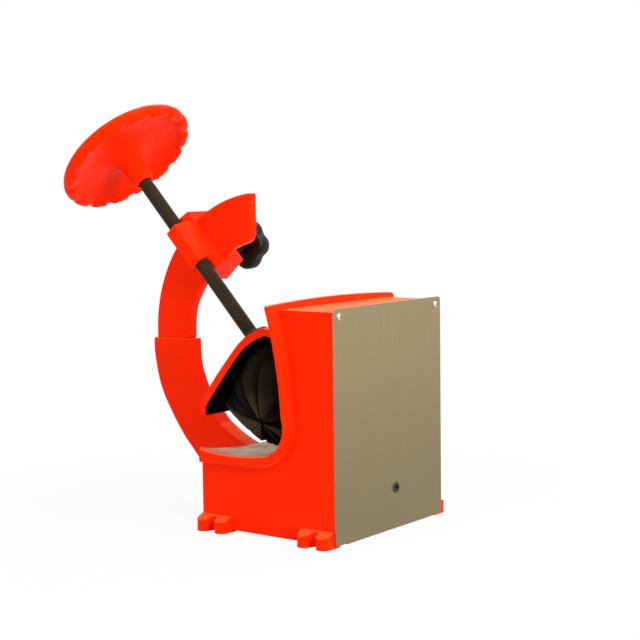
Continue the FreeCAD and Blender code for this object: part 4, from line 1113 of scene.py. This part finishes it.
@dataclass
class HandScrew:
    """The hand screw: swivel button, neck, thread, shoulder and the seat of the wheel."""

    button: float = 10 * MM
    button_low: float = -20.3 * MM
    button_high: float = -4.4 * MM
    button_edge: float = 1 * MM
    neck: float = 6.5 * MM
    neck_high: float = 0.6 * MM
    root_low: float = 1.8 * MM
    crest: float = 9.525 * MM
    depth: float = 0.9 * MM
    pitch: float = 2.54 * MM
    flank: float = 2.2
    valley: float = 0.5
    thread_low: float = 4 * MM
    thread_high: float = 276 * MM
    run_out: float = 2.0
    shoulder: float = 3 * MM
    seat: float = 7.9 * MM
    seat_high: float = 364 * MM
    tip: float = 7.0 * MM
    tip_high: float = 365.4 * MM
    steps: int = 36
    rings_per_turn: int = 4
    sharp_degrees: float = 40.0

    def build(self, stock: Stock) -> list[Piece]:
        """Make the screw as one skin whose rings climb with the thread.

        Args:
            stock: The finished materials.

        Returns:
            The screw.
        """
        count = int((self.thread_high - self.thread_low) / self.pitch * self.rings_per_turn)
        rings = [circle(radius, height, self.steps) for radius, height in self._button_and_neck()]
        rings += [self._thread_ring(step) for step in range(count + 1)]
        rings += [circle(radius, height, self.steps) for radius, height in self._wheel_end()]
        screw = skinned("threaded_hand_screw", rings, self.sharp_degrees)
        dress(screw, stock.get(THREAD_STEEL))
        settle(screw, Body.SCREW, "spindle")
        return [screw]

    def _button_and_neck(self) -> list[Pair]:
        """Profile of the swivel button and the neck.

        Returns:
            Radii and heights on the screw.
        """
        inside = self.button - self.button_edge
        return [
            (inside, self.button_low),
            (self.button, self.button_low + self.button_edge),
            (self.button, self.button_high - self.button_edge),
            (inside, self.button_high),
            (self.neck, self.button_high),
            (self.neck, self.neck_high),
            (self.crest - self.depth, self.root_low),
        ]

    def _wheel_end(self) -> list[Pair]:
        """Profile of the shoulder and of the end that carries the wheel.

        Returns:
            Radii and heights on the screw.
        """
        shoulder = self.thread_high + self.shoulder
        return [
            (self.crest - self.depth, shoulder),
            (self.seat, shoulder),
            (self.seat, self.seat_high),
            (self.tip, self.tip_high),
        ]

    def _thread_ring(self, step: int) -> list[Vector]:
        """One ring of the thread: each point rides on the crest or in the root by its turn.

        Args:
            step: The ring's number, counted up the thread.

        Returns:
            The ring's points.
        """
        height = self.thread_low + step * self.pitch / self.rings_per_turn
        from_end = min(height - self.thread_low, self.thread_high - height)
        full = clamped(from_end / (self.run_out * self.pitch))
        ring = []
        for share in (index / self.steps for index in range(self.steps)):
            phase = (step / self.rings_per_turn - share) % 1.0
            rise = clamped(self.flank * (1 - abs(2 * phase - 1)) - self.valley)
            radius = self.crest - self.depth * (1 - rise * full)
            ring.append(about_z(radius, math.tau * share, height))
        return ring


@dataclass
class HandWheel:
    """The dished wheel: a coned hub, a bowed web and a thick rim with a wave of finger grips.

    The section is given in millimetres, as radii and heights on the screw.
    """

    grips: int = 16
    steps_per_grip: int = 14
    first_grip: float = math.radians(6.2)
    scoop: float = 2.7 * MM
    scoop_low: float = 0.05
    scoop_span: float = 0.85
    scoop_reach: float = 1.2
    scoop_least: float = 0.2
    front_place: float = 4 * MM
    front_depth: float = 7 * MM
    rim_middle: Pair = (88.8 * MM, 326.2 * MM)
    rim_radius: float = 9.2 * MM
    rim_degrees: range = range(-155, 91, 15)
    hub: tuple[Pair, ...] = (
        (8, 279), (9.7, 279), (9.7, 277.5), (11.3, 277.5), (12.2, 278.3), (12.3, 280.4),
        (12.9, 281.2), (14.2, 281.6), (15.1, 282.6), (15.3, 285), (15.9, 297), (16.5, 309),
        (17.5, 315), (20, 320),
    )
    web: tuple[Pair, ...] = (
        (24.4, 324), (31, 327), (39, 329.2), (47, 330.2), (55, 330.2), (63, 329.2), (70, 327.4),
        (77, 324.4),
    )
    back: tuple[Pair, ...] = (
        (84, 336.4), (76, 336.8), (66, 337.6), (55, 338.8), (43, 340.4), (32, 342.8), (24, 346.6),
        (17.6, 350), (8, 350),
    )
    sharp_degrees: float = 50.0

    def build(self, stock: Stock) -> list[Piece]:
        """Turn the wheel's section, with the rim drawn in at each grip.

        Args:
            stock: The finished materials.

        Returns:
            The wheel.
        """
        turns = full_turn(self.grips * self.steps_per_grip)
        rings = [[self._point(place, turn) for turn in turns] for place in self._section()]
        rings.append(rings[0])
        wheel = skinned("waved_handwheel", rings, self.sharp_degrees, caps=False)
        dress(wheel, stock.get(ORANGE))
        settle(wheel, Body.SCREW, "handwheel")
        return [wheel]

    def _section(self) -> list[Pair]:
        """The wheel's section, from the bore's front end round the rim to its back end.

        Returns:
            Radii and heights in metres.
        """
        across, along = self.rim_middle
        rim = [
            (across + self.rim_radius * math.cos(turn), along + self.rim_radius * math.sin(turn))
            for turn in map(math.radians, self.rim_degrees)
        ]
        return [*in_metres(self.hub + self.web), *rim, *in_metres(self.back)]

    def _point(self, place: Pair, turn: float) -> Vector:
        """One point of the wheel, drawn in towards the rim's middle where a grip is.

        Args:
            place: Its radius and height in the section.
            turn: Its angle about the screw.

        Returns:
            The point in the screw's frame.
        """
        radius, height = place
        across, along = self.rim_middle
        wave = math.cos(self.grips * (turn - self.first_grip))
        scoop = self.scoop * eased((wave - self.scoop_low) / self.scoop_span)
        reach = Vector((radius - across, height - along))
        if reach.length > 0 and radius > across - self.scoop_reach * self.rim_radius:
            front = clamped((along + self.front_place - height) / self.front_depth)
            moved = reach * max(1 - scoop * front / reach.length, self.scoop_least)
            radius, height = across + moved.x, along + moved.y
        return about_z(radius, turn, height)


@dataclass
class StarKnob:
    """The lock's moulded knob: a domed head with five soft lobes on a round neck.

    The neck is given as radii and the head as insets from the lobes' reach, both in millimetres
    and each with its distance behind the arm's middle.
    """

    middle: float = 157.3 * MM
    reach: float = 35 * MM
    lobes: int = 5
    valley: float = 5.5 * MM
    valley_power: float = 1.5
    first_valley: float = math.radians(-82)
    round_inset: float = 34
    neck: tuple[Pair, ...] = ((6, 92), (6, 59), (12, 59), (13, 60), (13, 77))
    head: tuple[Pair, ...] = (
        (16, 78), (5, 78.5), (1.4, 80), (0.2, 83), (0, 91), (0.8, 97.5), (3.4, 102), (8, 105.2),
        (15, 107.2), (24, 108),
    )
    steps: int = 120
    sharp_degrees: float = 50.0

    def build(self, stock: Stock) -> list[Piece]:
        """Skin the knob from the end of its blind bore out and round to its domed face.

        Args:
            stock: The finished materials.

        Returns:
            The knob.
        """
        turns = full_turn(self.steps)
        rings = [
            [self._point(radius * MM, place, turn) for turn in turns]
            for radius, place in self.neck
        ]
        rings += [
            [self._point(self._lobed(inset, turn), place, turn) for turn in turns]
            for inset, place in self.head
        ]
        knob = skinned("moulded_star_knob", rings, self.sharp_degrees)
        dress(knob, stock.get(KNOB_BLACK))
        settle(knob, Body.LOCK, "lock_knob")
        return [knob]

    def _lobed(self, inset: float, turn: float) -> float:
        """The head's radius, less lobed towards its middle.

        Args:
            inset: How far the head is drawn in, in millimetres.
            turn: The angle about the lock's axis.

        Returns:
            The radius in metres.
        """
        wave = 0.5 + 0.5 * math.cos(self.lobes * (turn - self.first_valley))
        valley = self.valley * wave**self.valley_power * (1 - inset / self.round_inset)
        return self.reach - inset * MM - valley

    def _point(self, radius: float, place: float, turn: float) -> Vector:
        """A point round the lock's axis, its place in millimetres behind the arm's middle."""
        behind = place * MM - SCREW_FRAME.centre[1]
        return Vector((radius * math.cos(turn), behind, self.middle + radius * math.sin(turn)))


@dataclass
class BowedArm:
    """The bowed arm: a flat bar bent to an arc and let into the mouth of a cast root.

    The root's edges are given in millimetres: the inner one as turns in degrees and radii round
    the arm's centre, the outer one as places in X and Z. A turn is 0 out to the left and grows
    downwards.
    """

    centre: Pair = (-89.5 * MM, 238 * MM)
    inner: float = 125.6 * MM
    slim: float = 130.2 * MM
    slim_degrees: Pair = (-32.0, -12.0)
    tongue: float = 6.8 * MM
    tongue_degrees: Pair = (3.6, 6.6)
    outer: float = 189 * MM
    half: float = 8 * MM
    edge: float = 1.2 * MM
    end_place: float = 21 * MM
    end_corner: float = 12 * MM
    end_bulge: Pair = (-1.2 * MM, 2.2 * MM)
    seat: float = math.radians(25.5)
    play: float = 0.15 * MM
    inner_steps: int = 60
    outer_steps: int = 70
    end_steps: int = 8
    root_half: float = 13 * MM
    root_edge: float = 3 * MM
    root_steps: int = 8
    mouth: float = 227 * MM
    mouth_lip: float = 0.2 * MM
    mouth_cut: float = math.radians(-4)
    wall: Pair = (-105.5 * MM, 88.4 * MM)
    root_inner: tuple[Pair, ...] = (
        (5, 127.6), (9, 128.4), (13, 130), (21.5, 133.4), (32, 136.2), (40, 138.4), (56, 142),
        (62, 143.6), (68, 145.6), (74, 147.6), (79, 149.8),
    )
    root_outer: tuple[Pair, ...] = (
        (-280.4, 227), (-280.3, 210), (-276.8, 187), (-270.6, 164), (-259.6, 140), (-233, 99.8),
        (-211.6, 76), (-201.4, 65.4), (-181, 50), (-156, 37), (-131, 28), (-105.5, 22),
    )
    bevel_segments: int = 4
    bevel_degrees: float = 50.0
    sharp_degrees: float = 30.0

    def build(self, stock: Stock) -> list[Piece]:
        """Make the bar and the root.

        Args:
            stock: The finished materials.

        Returns:
            The bar and the root.
        """
        reach = self.end_place + self.end_corner
        tops = (-math.acos(reach / self.inner), -math.acos(self.end_place / self.outer))
        outline = self._bar(tops, self._bar_end())
        bar = self._slab("bent_flat_bar", outline, self.half, self.edge)
        root = self._root()
        for piece, node in ((bar, "upper_arm"), (root, "lower_arm")):
            smooth_by_angle(piece, self.sharp_degrees)
            dress(piece, stock.get(ORANGE))
            settle(piece, Body.MACHINE, node)
        return [bar, root]

    def _on_bend(self, radius: float, turn: float) -> Pair:
        """A place in X and Z at a radius and a turn round the arm's centre."""
        return (self.centre[0] - radius * math.cos(turn), self.centre[1] - radius * math.sin(turn))

    def _inner_radius(self, turn: float) -> float:
        """The bar's inner radius: slimmer below the collar, and slimmer again inside the root.

        Args:
            turn: The turn round the arm's centre.

        Returns:
            The radius in metres.
        """
        degrees = math.degrees(turn)
        slim, tongue = (
            (degrees - low) / (high - low) for low, high in (self.slim_degrees, self.tongue_degrees)
        )
        return self.inner + (self.slim - self.inner) * eased(slim) + clamped(tongue) * self.tongue

    def _bar_end(self) -> list[Pair]:
        """The bulging corner at the bar's free end.

        Returns:
            Its points in X and Z, from the inner edge on.
        """
        across, up = self.centre
        reach = self.end_place + self.end_corner
        corner = self.inner + self.end_corner
        start = Vector((-reach, math.sqrt(self.inner**2 - reach**2)))
        bulge = Vector((self.end_bulge[0] - self.end_place, start.y + self.end_bulge[1]))
        spot = Vector((-self.end_place, math.sqrt(corner**2 - self.end_place**2)))
        end = []
        for share in spread(0.0, 1.0, self.end_steps)[1:]:
            place = (1 - share) ** 2 * start + 2 * share * (1 - share) * bulge + share**2 * spot
            end.append((across + place.x, up + place.y))
        return end

    def _bar(self, tops: Pair, end: Sequence[Pair] = (), play: float = 0.0) -> list[Pair]:
        """The bar's side view, from its seat up the inner edge and back down the outer one.

        Args:
            tops: The turns where the inner and the outer edge end.
            end: The points between them.
            play: How far the outline stands off the bar.

        Returns:
            The outline's points in X and Z.
        """
        seat = self.seat + play / self.outer
        rising = spread(seat, tops[0], self.inner_steps)
        falling = spread(tops[1], seat, self.outer_steps)
        inner = [self._on_bend(self._inner_radius(turn) - play, turn) for turn in rising]
        outer = [self._on_bend(self.outer + play, turn) for turn in falling]
        return [*inner, *end, *outer]

    def _root(self) -> Piece:
        """The cast root with the bar's mouth sunk into its top.

        Returns:
            The root.
        """
        inner = [
            self._on_bend(radius * MM, math.radians(turn)) for turn, radius in self.root_inner
        ]
        lip = (inner[0][0] - self.mouth_lip, self.mouth)
        inner_edge = smooth_curve([lip, *inner[1:], self.wall], self.root_steps)
        outer_edge = smooth_curve(in_metres(self.root_outer), self.root_steps)
        outline = [*outer_edge, *reversed(inner_edge)]
        root = self._slab("cast_arm_root", outline, self.root_half, self.root_edge)
        mouth = self._bar((self.mouth_cut, self.mouth_cut), play=self.play)
        return carved(root, [self._slab("cutter", mouth, self.half + self.play)])

    def _slab(
        self, name: str, outline: Sequence[Iterable[float]], half: float, edge: float = 0.0
    ) -> Piece:
        """Give an upright outline a thickness and rounded edges.

        Args:
            name: The piece's name.
            outline: Its points in X and Z.
            half: Half of its thickness along Y.
            edge: The radius of its long edges, or 0 for sharp ones.

        Returns:
            The piece.
        """
        work = bmesh.new()
        near, far = (
            [work.verts.new((across, place, height)) for across, height in outline]
            for place in (-half, half)
        )
        work.faces.new(near)
        work.faces.new(far)
        for index in range(len(outline)):
            after = (index + 1) % len(outline)
            work.faces.new((near[index], near[after], far[after], far[index]))
        slab = mesh_of(name, work, smooth=False)
        if not edge:
            return slab
        round_off = slab.modifiers.new("round_off", "BEVEL")
        round_off.width = edge
        round_off.segments = self.bevel_segments
        round_off.limit_method = "ANGLE"
        round_off.angle_limit = math.radians(self.bevel_degrees)
        return baked(slab)


@dataclass
class PressureBag:
    """The filled leather bag: full under the hood and drawn together in folds at both ends.

    The section is given in millimetres in the screw's frame, and the gather is where the folds
    meet. Each spot is a place of its own in the noise.
    """

    half_length: float = 88 * MM
    full_share: float = 0.5
    gather: Pair = (-5 * MM, -124 * MM)
    across_power: float = 2.2
    along_power: float = 3.4
    least_share: float = 0.06
    least_reach: float = 0.1
    points: int = 288
    stations: int = 120
    run_steps: int = 16
    fold_depth: float = 9 * MM
    fold_spread: float = 1.6
    fold_gain: float = 2.6
    fold_power: float = 0.6
    draw_rate: float = 1.7
    draw_power: float = 1.5
    close_rate: float = 2.4
    twist: float = 0.5
    drift: float = 0.45
    bulge_share: float = 0.5
    bulge_rate: float = 1.2
    full_mark: float = 0.35
    sway_scale: float = 0.8
    sway_spot: Triple = (3.1, 7.7, 1.9)
    sway_share: float = 0.6
    lobe_spot: float = 4.2
    wrinkle_depth: float = 2.2 * MM
    full_wrinkle: float = 0.25
    wrinkle_scale: float = 45.0
    wrinkle_drift: float = 7.0
    wrinkle_spot: Triple = (9.0, 2.0, 5.0)
    slack_depth: float = 1.5 * MM
    slack_scale: float = 26.0
    section: tuple[Pair, ...] = (
        (-57, -53.5), (-30, -45.5), (0, -41.4), (26, -39), (48, -42.4), (63.5, -48.4),
        (64.2, -70), (60, -98), (43, -126), (23, -149), (10, -159.6), (0, -162), (-12, -160.4),
        (-26, -153), (-38, -140.5), (-46.5, -121), (-53, -98), (-57, -76), (-58.6, -62),
    )

    def build(self, stock: Stock) -> list[Piece]:
        """Make the bag, with each place's height on its fold kept for the leather.

        Args:
            stock: The finished materials.

        Returns:
            The bag.
        """
        outline = self._outline()
        shares = [
            -math.cos(math.pi * station / self.stations) for station in range(self.stations + 1)
        ]
        skin = [[self._point(place, share) for place in outline] for share in shares]
        work = bmesh.new()
        fold_layer = work.verts.layers.float.new("fold")
        rows = loft(work, [[point for point, _ in ring] for ring in skin])
        for row, ring in zip(rows, skin):
            for vert, (_, mark) in zip(row, ring):
                vert[fold_layer] = mark
        bag = mesh_of("gathered_leather_bag", work, SCREW_FRAME.matrix())
        dress(bag, stock.get(LEATHER))
        settle(bag, Body.SHOE, "pressure_bag")
        return [bag]

    def _outline(self) -> list[Vector]:
        """The bag's full section, with its corners rounded off and its points evenly spaced.

        Returns:
            The section's points in the screw's frame.
        """
        curve = smooth_curve(in_metres(self.section), self.run_steps, closed=True)
        lengths = [0.0]
        for here, there in zip(curve, curve[1:] + curve[:1]):
            lengths.append(lengths[-1] + (there - here).length)
        outline, spot = [], 0
        for index in range(self.points):
            target = lengths[-1] * index / self.points
            while lengths[spot + 1] < target:
                spot += 1
            share = (target - lengths[spot]) / (lengths[spot + 1] - lengths[spot])
            outline.append(curve[spot].lerp(curve[(spot + 1) % len(curve)], share))
        return outline

    def _point(self, place: Vector, share: float) -> tuple[Vector, float]:
        """One point of the bag's skin.

        Args:
            place: Where it lies in the full section.
            share: Where along the bag it lies, from -1 at the front gather to 1 at the back one.

        Returns:
            The point in the screw's frame, and how much it lies on top of a fold.
        """
        heart = Vector(self.gather)
        away = max(abs(share) - self.full_share, 0.0) / (1 - self.full_share)
        across_share = max(1 - away**self.across_power, 0.0) ** 0.5
        along_share = max(1 - away**self.along_power, 0.0) ** 0.5
        drawn = min(away * self.draw_rate, 1.0) ** self.draw_power
        size = min(across_share * self.close_rate, 1.0)
        ray = place - heart
        ridge = self._ridge(math.atan2(ray.y, ray.x), away, share)
        y = share * self.half_length
        scale = self.wrinkle_scale
        spot = Vector((ray.x * scale, ray.y * scale, away * self.wrinkle_drift))
        wrinkle = self._cloud(spot + Vector(self.wrinkle_spot))
        slack = self._cloud(Vector((place.x, y, place.y)) * self.slack_scale)
        wrinkled = self.full_wrinkle + (1 - self.full_wrinkle) * drawn
        inward = (1 - ridge) * self.fold_depth * drawn * size
        inward += wrinkle * self.wrinkle_depth * wrinkled * size
        inward += slack * self.slack_depth * size
        least = self.least_share
        shrunk = Vector((max(across_share, least) * ray.x, max(along_share, least) * ray.y))
        reach = max(1 - inward / max(shrunk.length, TINY), self.least_reach)
        moved = heart + shrunk * reach
        bulge = (1 - ridge) * self.bulge_share * self.fold_depth * drawn
        bulge *= min(away * self.bulge_rate, 1.0)
        point = Vector((moved.x, y - math.copysign(bulge, share), moved.y))
        return point, ridge * (self.full_mark + (1 - self.full_mark) * drawn)

    def _ridge(self, turn: float, away: float, share: float) -> float:
        """How high a place lies between two folds.

        Args:
            turn: Its angle about the gather.
            away: How far it lies from the full part, 1 at the gather.
            share: Where along the bag it lies.

        Returns:
            0 in a fold and 1 on the crest beside it.
        """
        twisted = turn + self.twist * away * math.copysign(1.0, share)
        spot = Vector((math.cos(twisted), math.sin(twisted), self.drift * share))
        spot = spot * self.fold_spread
        sway = noise.noise(spot * self.sway_scale + Vector(self.sway_spot))
        lobe = noise.noise(spot + Vector((sway, self.sway_share * sway, self.lobe_spot)))
        return min(abs(lobe) * self.fold_gain, 1.0) ** self.fold_power

    @staticmethod
    def _cloud(spot: Vector) -> float:
        """Noise about 0.5 at a spot."""
        return 0.5 + 0.5 * noise.noise(spot)


@dataclass
class PressureShoe:
    """The swivel keeper on the hood's boss, with a slotted screw on each side of the hand screw."""

    boss_top: float = -4 * MM
    keeper_thickness: float = 4 * MM
    keeper_pitch: float = 33 * MM
    head: ScrewHead = ScrewHead(7 * MM, 2.2 * MM, 4 * MM, 15 * MM, Recess.SLIT)

    def build(self, stock: Stock) -> list[Piece]:
        """Make the keeper's two screws.

        Args:
            stock: The finished materials.

        Returns:
            The screws as one piece.
        """
        pair = ScrewPair(
            name="keeper_screw_pair",
            head=self.head,
            start=(-self.keeper_pitch / 2, 0.0, self.boss_top + self.keeper_thickness),
            step=(self.keeper_pitch, 0.0, 0.0),
            axis_turn=(0.0, 0.0, 0.0),
            seed=9,
        )
        screws = pair.make(stock.get(THREAD_STEEL), SCREW_FRAME.matrix())
        settle(screws, Body.SHOE, "keeper_screws")
        return [screws]


# Studio


@dataclass(frozen=True)
class Panel:
    """A soft square lamp: its place, the length of its side and its power in watts."""

    name: str
    place: Triple
    side: float
    power: float

    def hang(self, aim: Triple) -> None:
        """Hang the lamp.

        Args:
            aim: What it points at.
        """
        data = bpy.data.lights.new(self.name, "AREA")
        data.size = self.side
        data.energy = self.power
        lamp = bpy.data.objects.new(self.name, data)
        lamp.location = self.place
        sight = Vector(aim) - Vector(self.place)
        lamp.rotation_euler = sight.to_track_quat("-Z", "Y").to_euler()
        bpy.context.scene.collection.objects.link(lamp)


@dataclass
class Studio:
    """A pale floor, soft lamps, a white surround and the camera at the photograph's angle."""

    eye: Triple = (1160.876 * MM, -1551.661 * MM, 437.588 * MM)
    turn: float = 0.642840
    dip: float = 0.0901592
    roll: float = -0.0127744
    lens: float = 84.98
    film: float = 36.0
    surround: float = 0.45
    floor_half: float = 12.0
    floor_colours: tuple[Triple, Triple] = ((0.6, 0.6, 0.6), (0.64, 0.64, 0.64))
    floor_patch: float = 0.6
    floor_roughness: float = 0.9
    floor_glow: float = 0.92
    shadow_near: float = 0.3
    shadow_far: float = 0.75
    aim: Triple = (0.0, 0.0, 0.2)
    lamps: tuple[Panel, ...] = (
        Panel("key_panel", (2.2, -0.5, 1.2), 1.5, 66.0),
        Panel("front_panel", (-0.6, -2.4, 1.2), 1.8, 21.0),
        Panel("top_panel", (0.3, 0.4, 2.2), 1.6, 32.0),
    )

    def build(self) -> None:
        """Set up camera, surround, floor and lamps."""
        self._camera()
        self._surround()
        self._floor()
        for lamp in self.lamps:
            lamp.hang(self.aim)

    def _camera(self) -> None:
        """Place the camera."""
        level = math.cos(self.dip)
        ahead = Vector(
            (-math.sin(self.turn) * level, math.cos(self.turn) * level, -math.sin(self.dip))
        )
        right = Vector((math.cos(self.turn), math.sin(self.turn), 0.0))
        up = right.cross(ahead)
        side = math.cos(self.roll) * right + math.sin(self.roll) * up
        top = -math.sin(self.roll) * right + math.cos(self.roll) * up
        data = bpy.data.cameras.new("camera")
        data.sensor_width = self.film
        data.lens = self.lens
        camera = bpy.data.objects.new("camera", data)
        basis = Matrix((side, top, -ahead)).transposed().to_4x4()
        camera.matrix_world = Matrix.Translation(self.eye) @ basis
        bpy.context.scene.collection.objects.link(camera)
        bpy.context.scene.camera = camera

    @staticmethod
    def _seen(tree: ShaderTree) -> Signal:
        """Tell what is looked at, straight or in gloss, from the light on the object.

        Args:
            tree: The tree that asks.

        Returns:
            1 for camera and mirrored rays and 0 for the others.
        """
        looks = ("Is Camera Ray", "Is Glossy Ray")
        direct, mirrored = (tree.node("ShaderNodeLightPath", output=look) for look in looks)
        return direct + mirrored

    def _surround(self) -> None:
        """Light the object evenly and show white behind it."""
        world = bpy.data.worlds.new("surround")
        bpy.context.scene.world = world
        world.use_nodes = True
        tree = ShaderTree(world.node_tree)
        soft, white = (
            tree.node("ShaderNodeBackground", inputs={"Color": WHITE, "Strength": strength})
            for strength in (self.surround, 1.0)
        )
        inputs = {0: self._seen(tree), 1: soft, 2: white}
        tree.show(tree.node("ShaderNodeMixShader", inputs=inputs), "ShaderNodeOutputWorld")

    def _floor(self) -> None:
        """Lay the floor, which keeps the object's shadow and fades to white round it."""
        work = bmesh.new()
        bmesh.ops.create_grid(work, x_segments=1, y_segments=1, size=self.floor_half)
        floor = mesh_of("floor", work, smooth=False)
        recipe = Recipe("pale_floor")
        tone = recipe.blend(recipe.noise(self.floor_patch), *self.floor_colours)
        plain = recipe.surface(Base_Color=tone, Roughness=self.floor_roughness)
        away = (recipe.axis("X") ** 2 + recipe.axis("Y") ** 2) ** 0.5
        fade = away.ramp(self.shadow_near, self.shadow_far, self.floor_glow, 1.0)
        glow = recipe.node("ShaderNodeEmission", inputs={"Color": WHITE, "Strength": 1.0})
        inputs = {0: fade * self._seen(recipe), 1: plain, 2: glow}
        recipe.show(recipe.node("ShaderNodeMixShader", inputs=inputs))
        dress(floor, recipe.material)


def dress_nodes(nodes: dict[str, Piece], stock: Stock) -> None:
    """Give each solid that stays as it is its finish.

    Args:
        nodes: The model's solids by name.
        stock: The finished materials.
    """
    for finish, names in FINISHED_NODES:
        for name in names:
            dress(nodes[name], stock.get(finish))


def main() -> None:
    """Dress the model, add the pieces of each sub-assembly and set up the studio."""
    logging.basicConfig(level=logging.INFO, format="%(name)s: %(message)s")
    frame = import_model()
    bpy.context.scene.view_settings.view_transform = "Standard"
    stock = Stock()
    Studio().build()
    dress_nodes(frame["nodes"], stock)
    builders: tuple[Callable[[Stock], list[Piece]], ...] = (
        SideCover().build,
        HandScrew().build,
        HandWheel().build,
        StarKnob().build,
        BowedArm().build,
        PressureBag().build,
        PressureShoe().build,
    )
    for build in builders:
        for piece in build(stock):
            log.info("%s: %d faces", piece.name, len(piece.data.polygons))


if __name__ == "__main__":
    main()
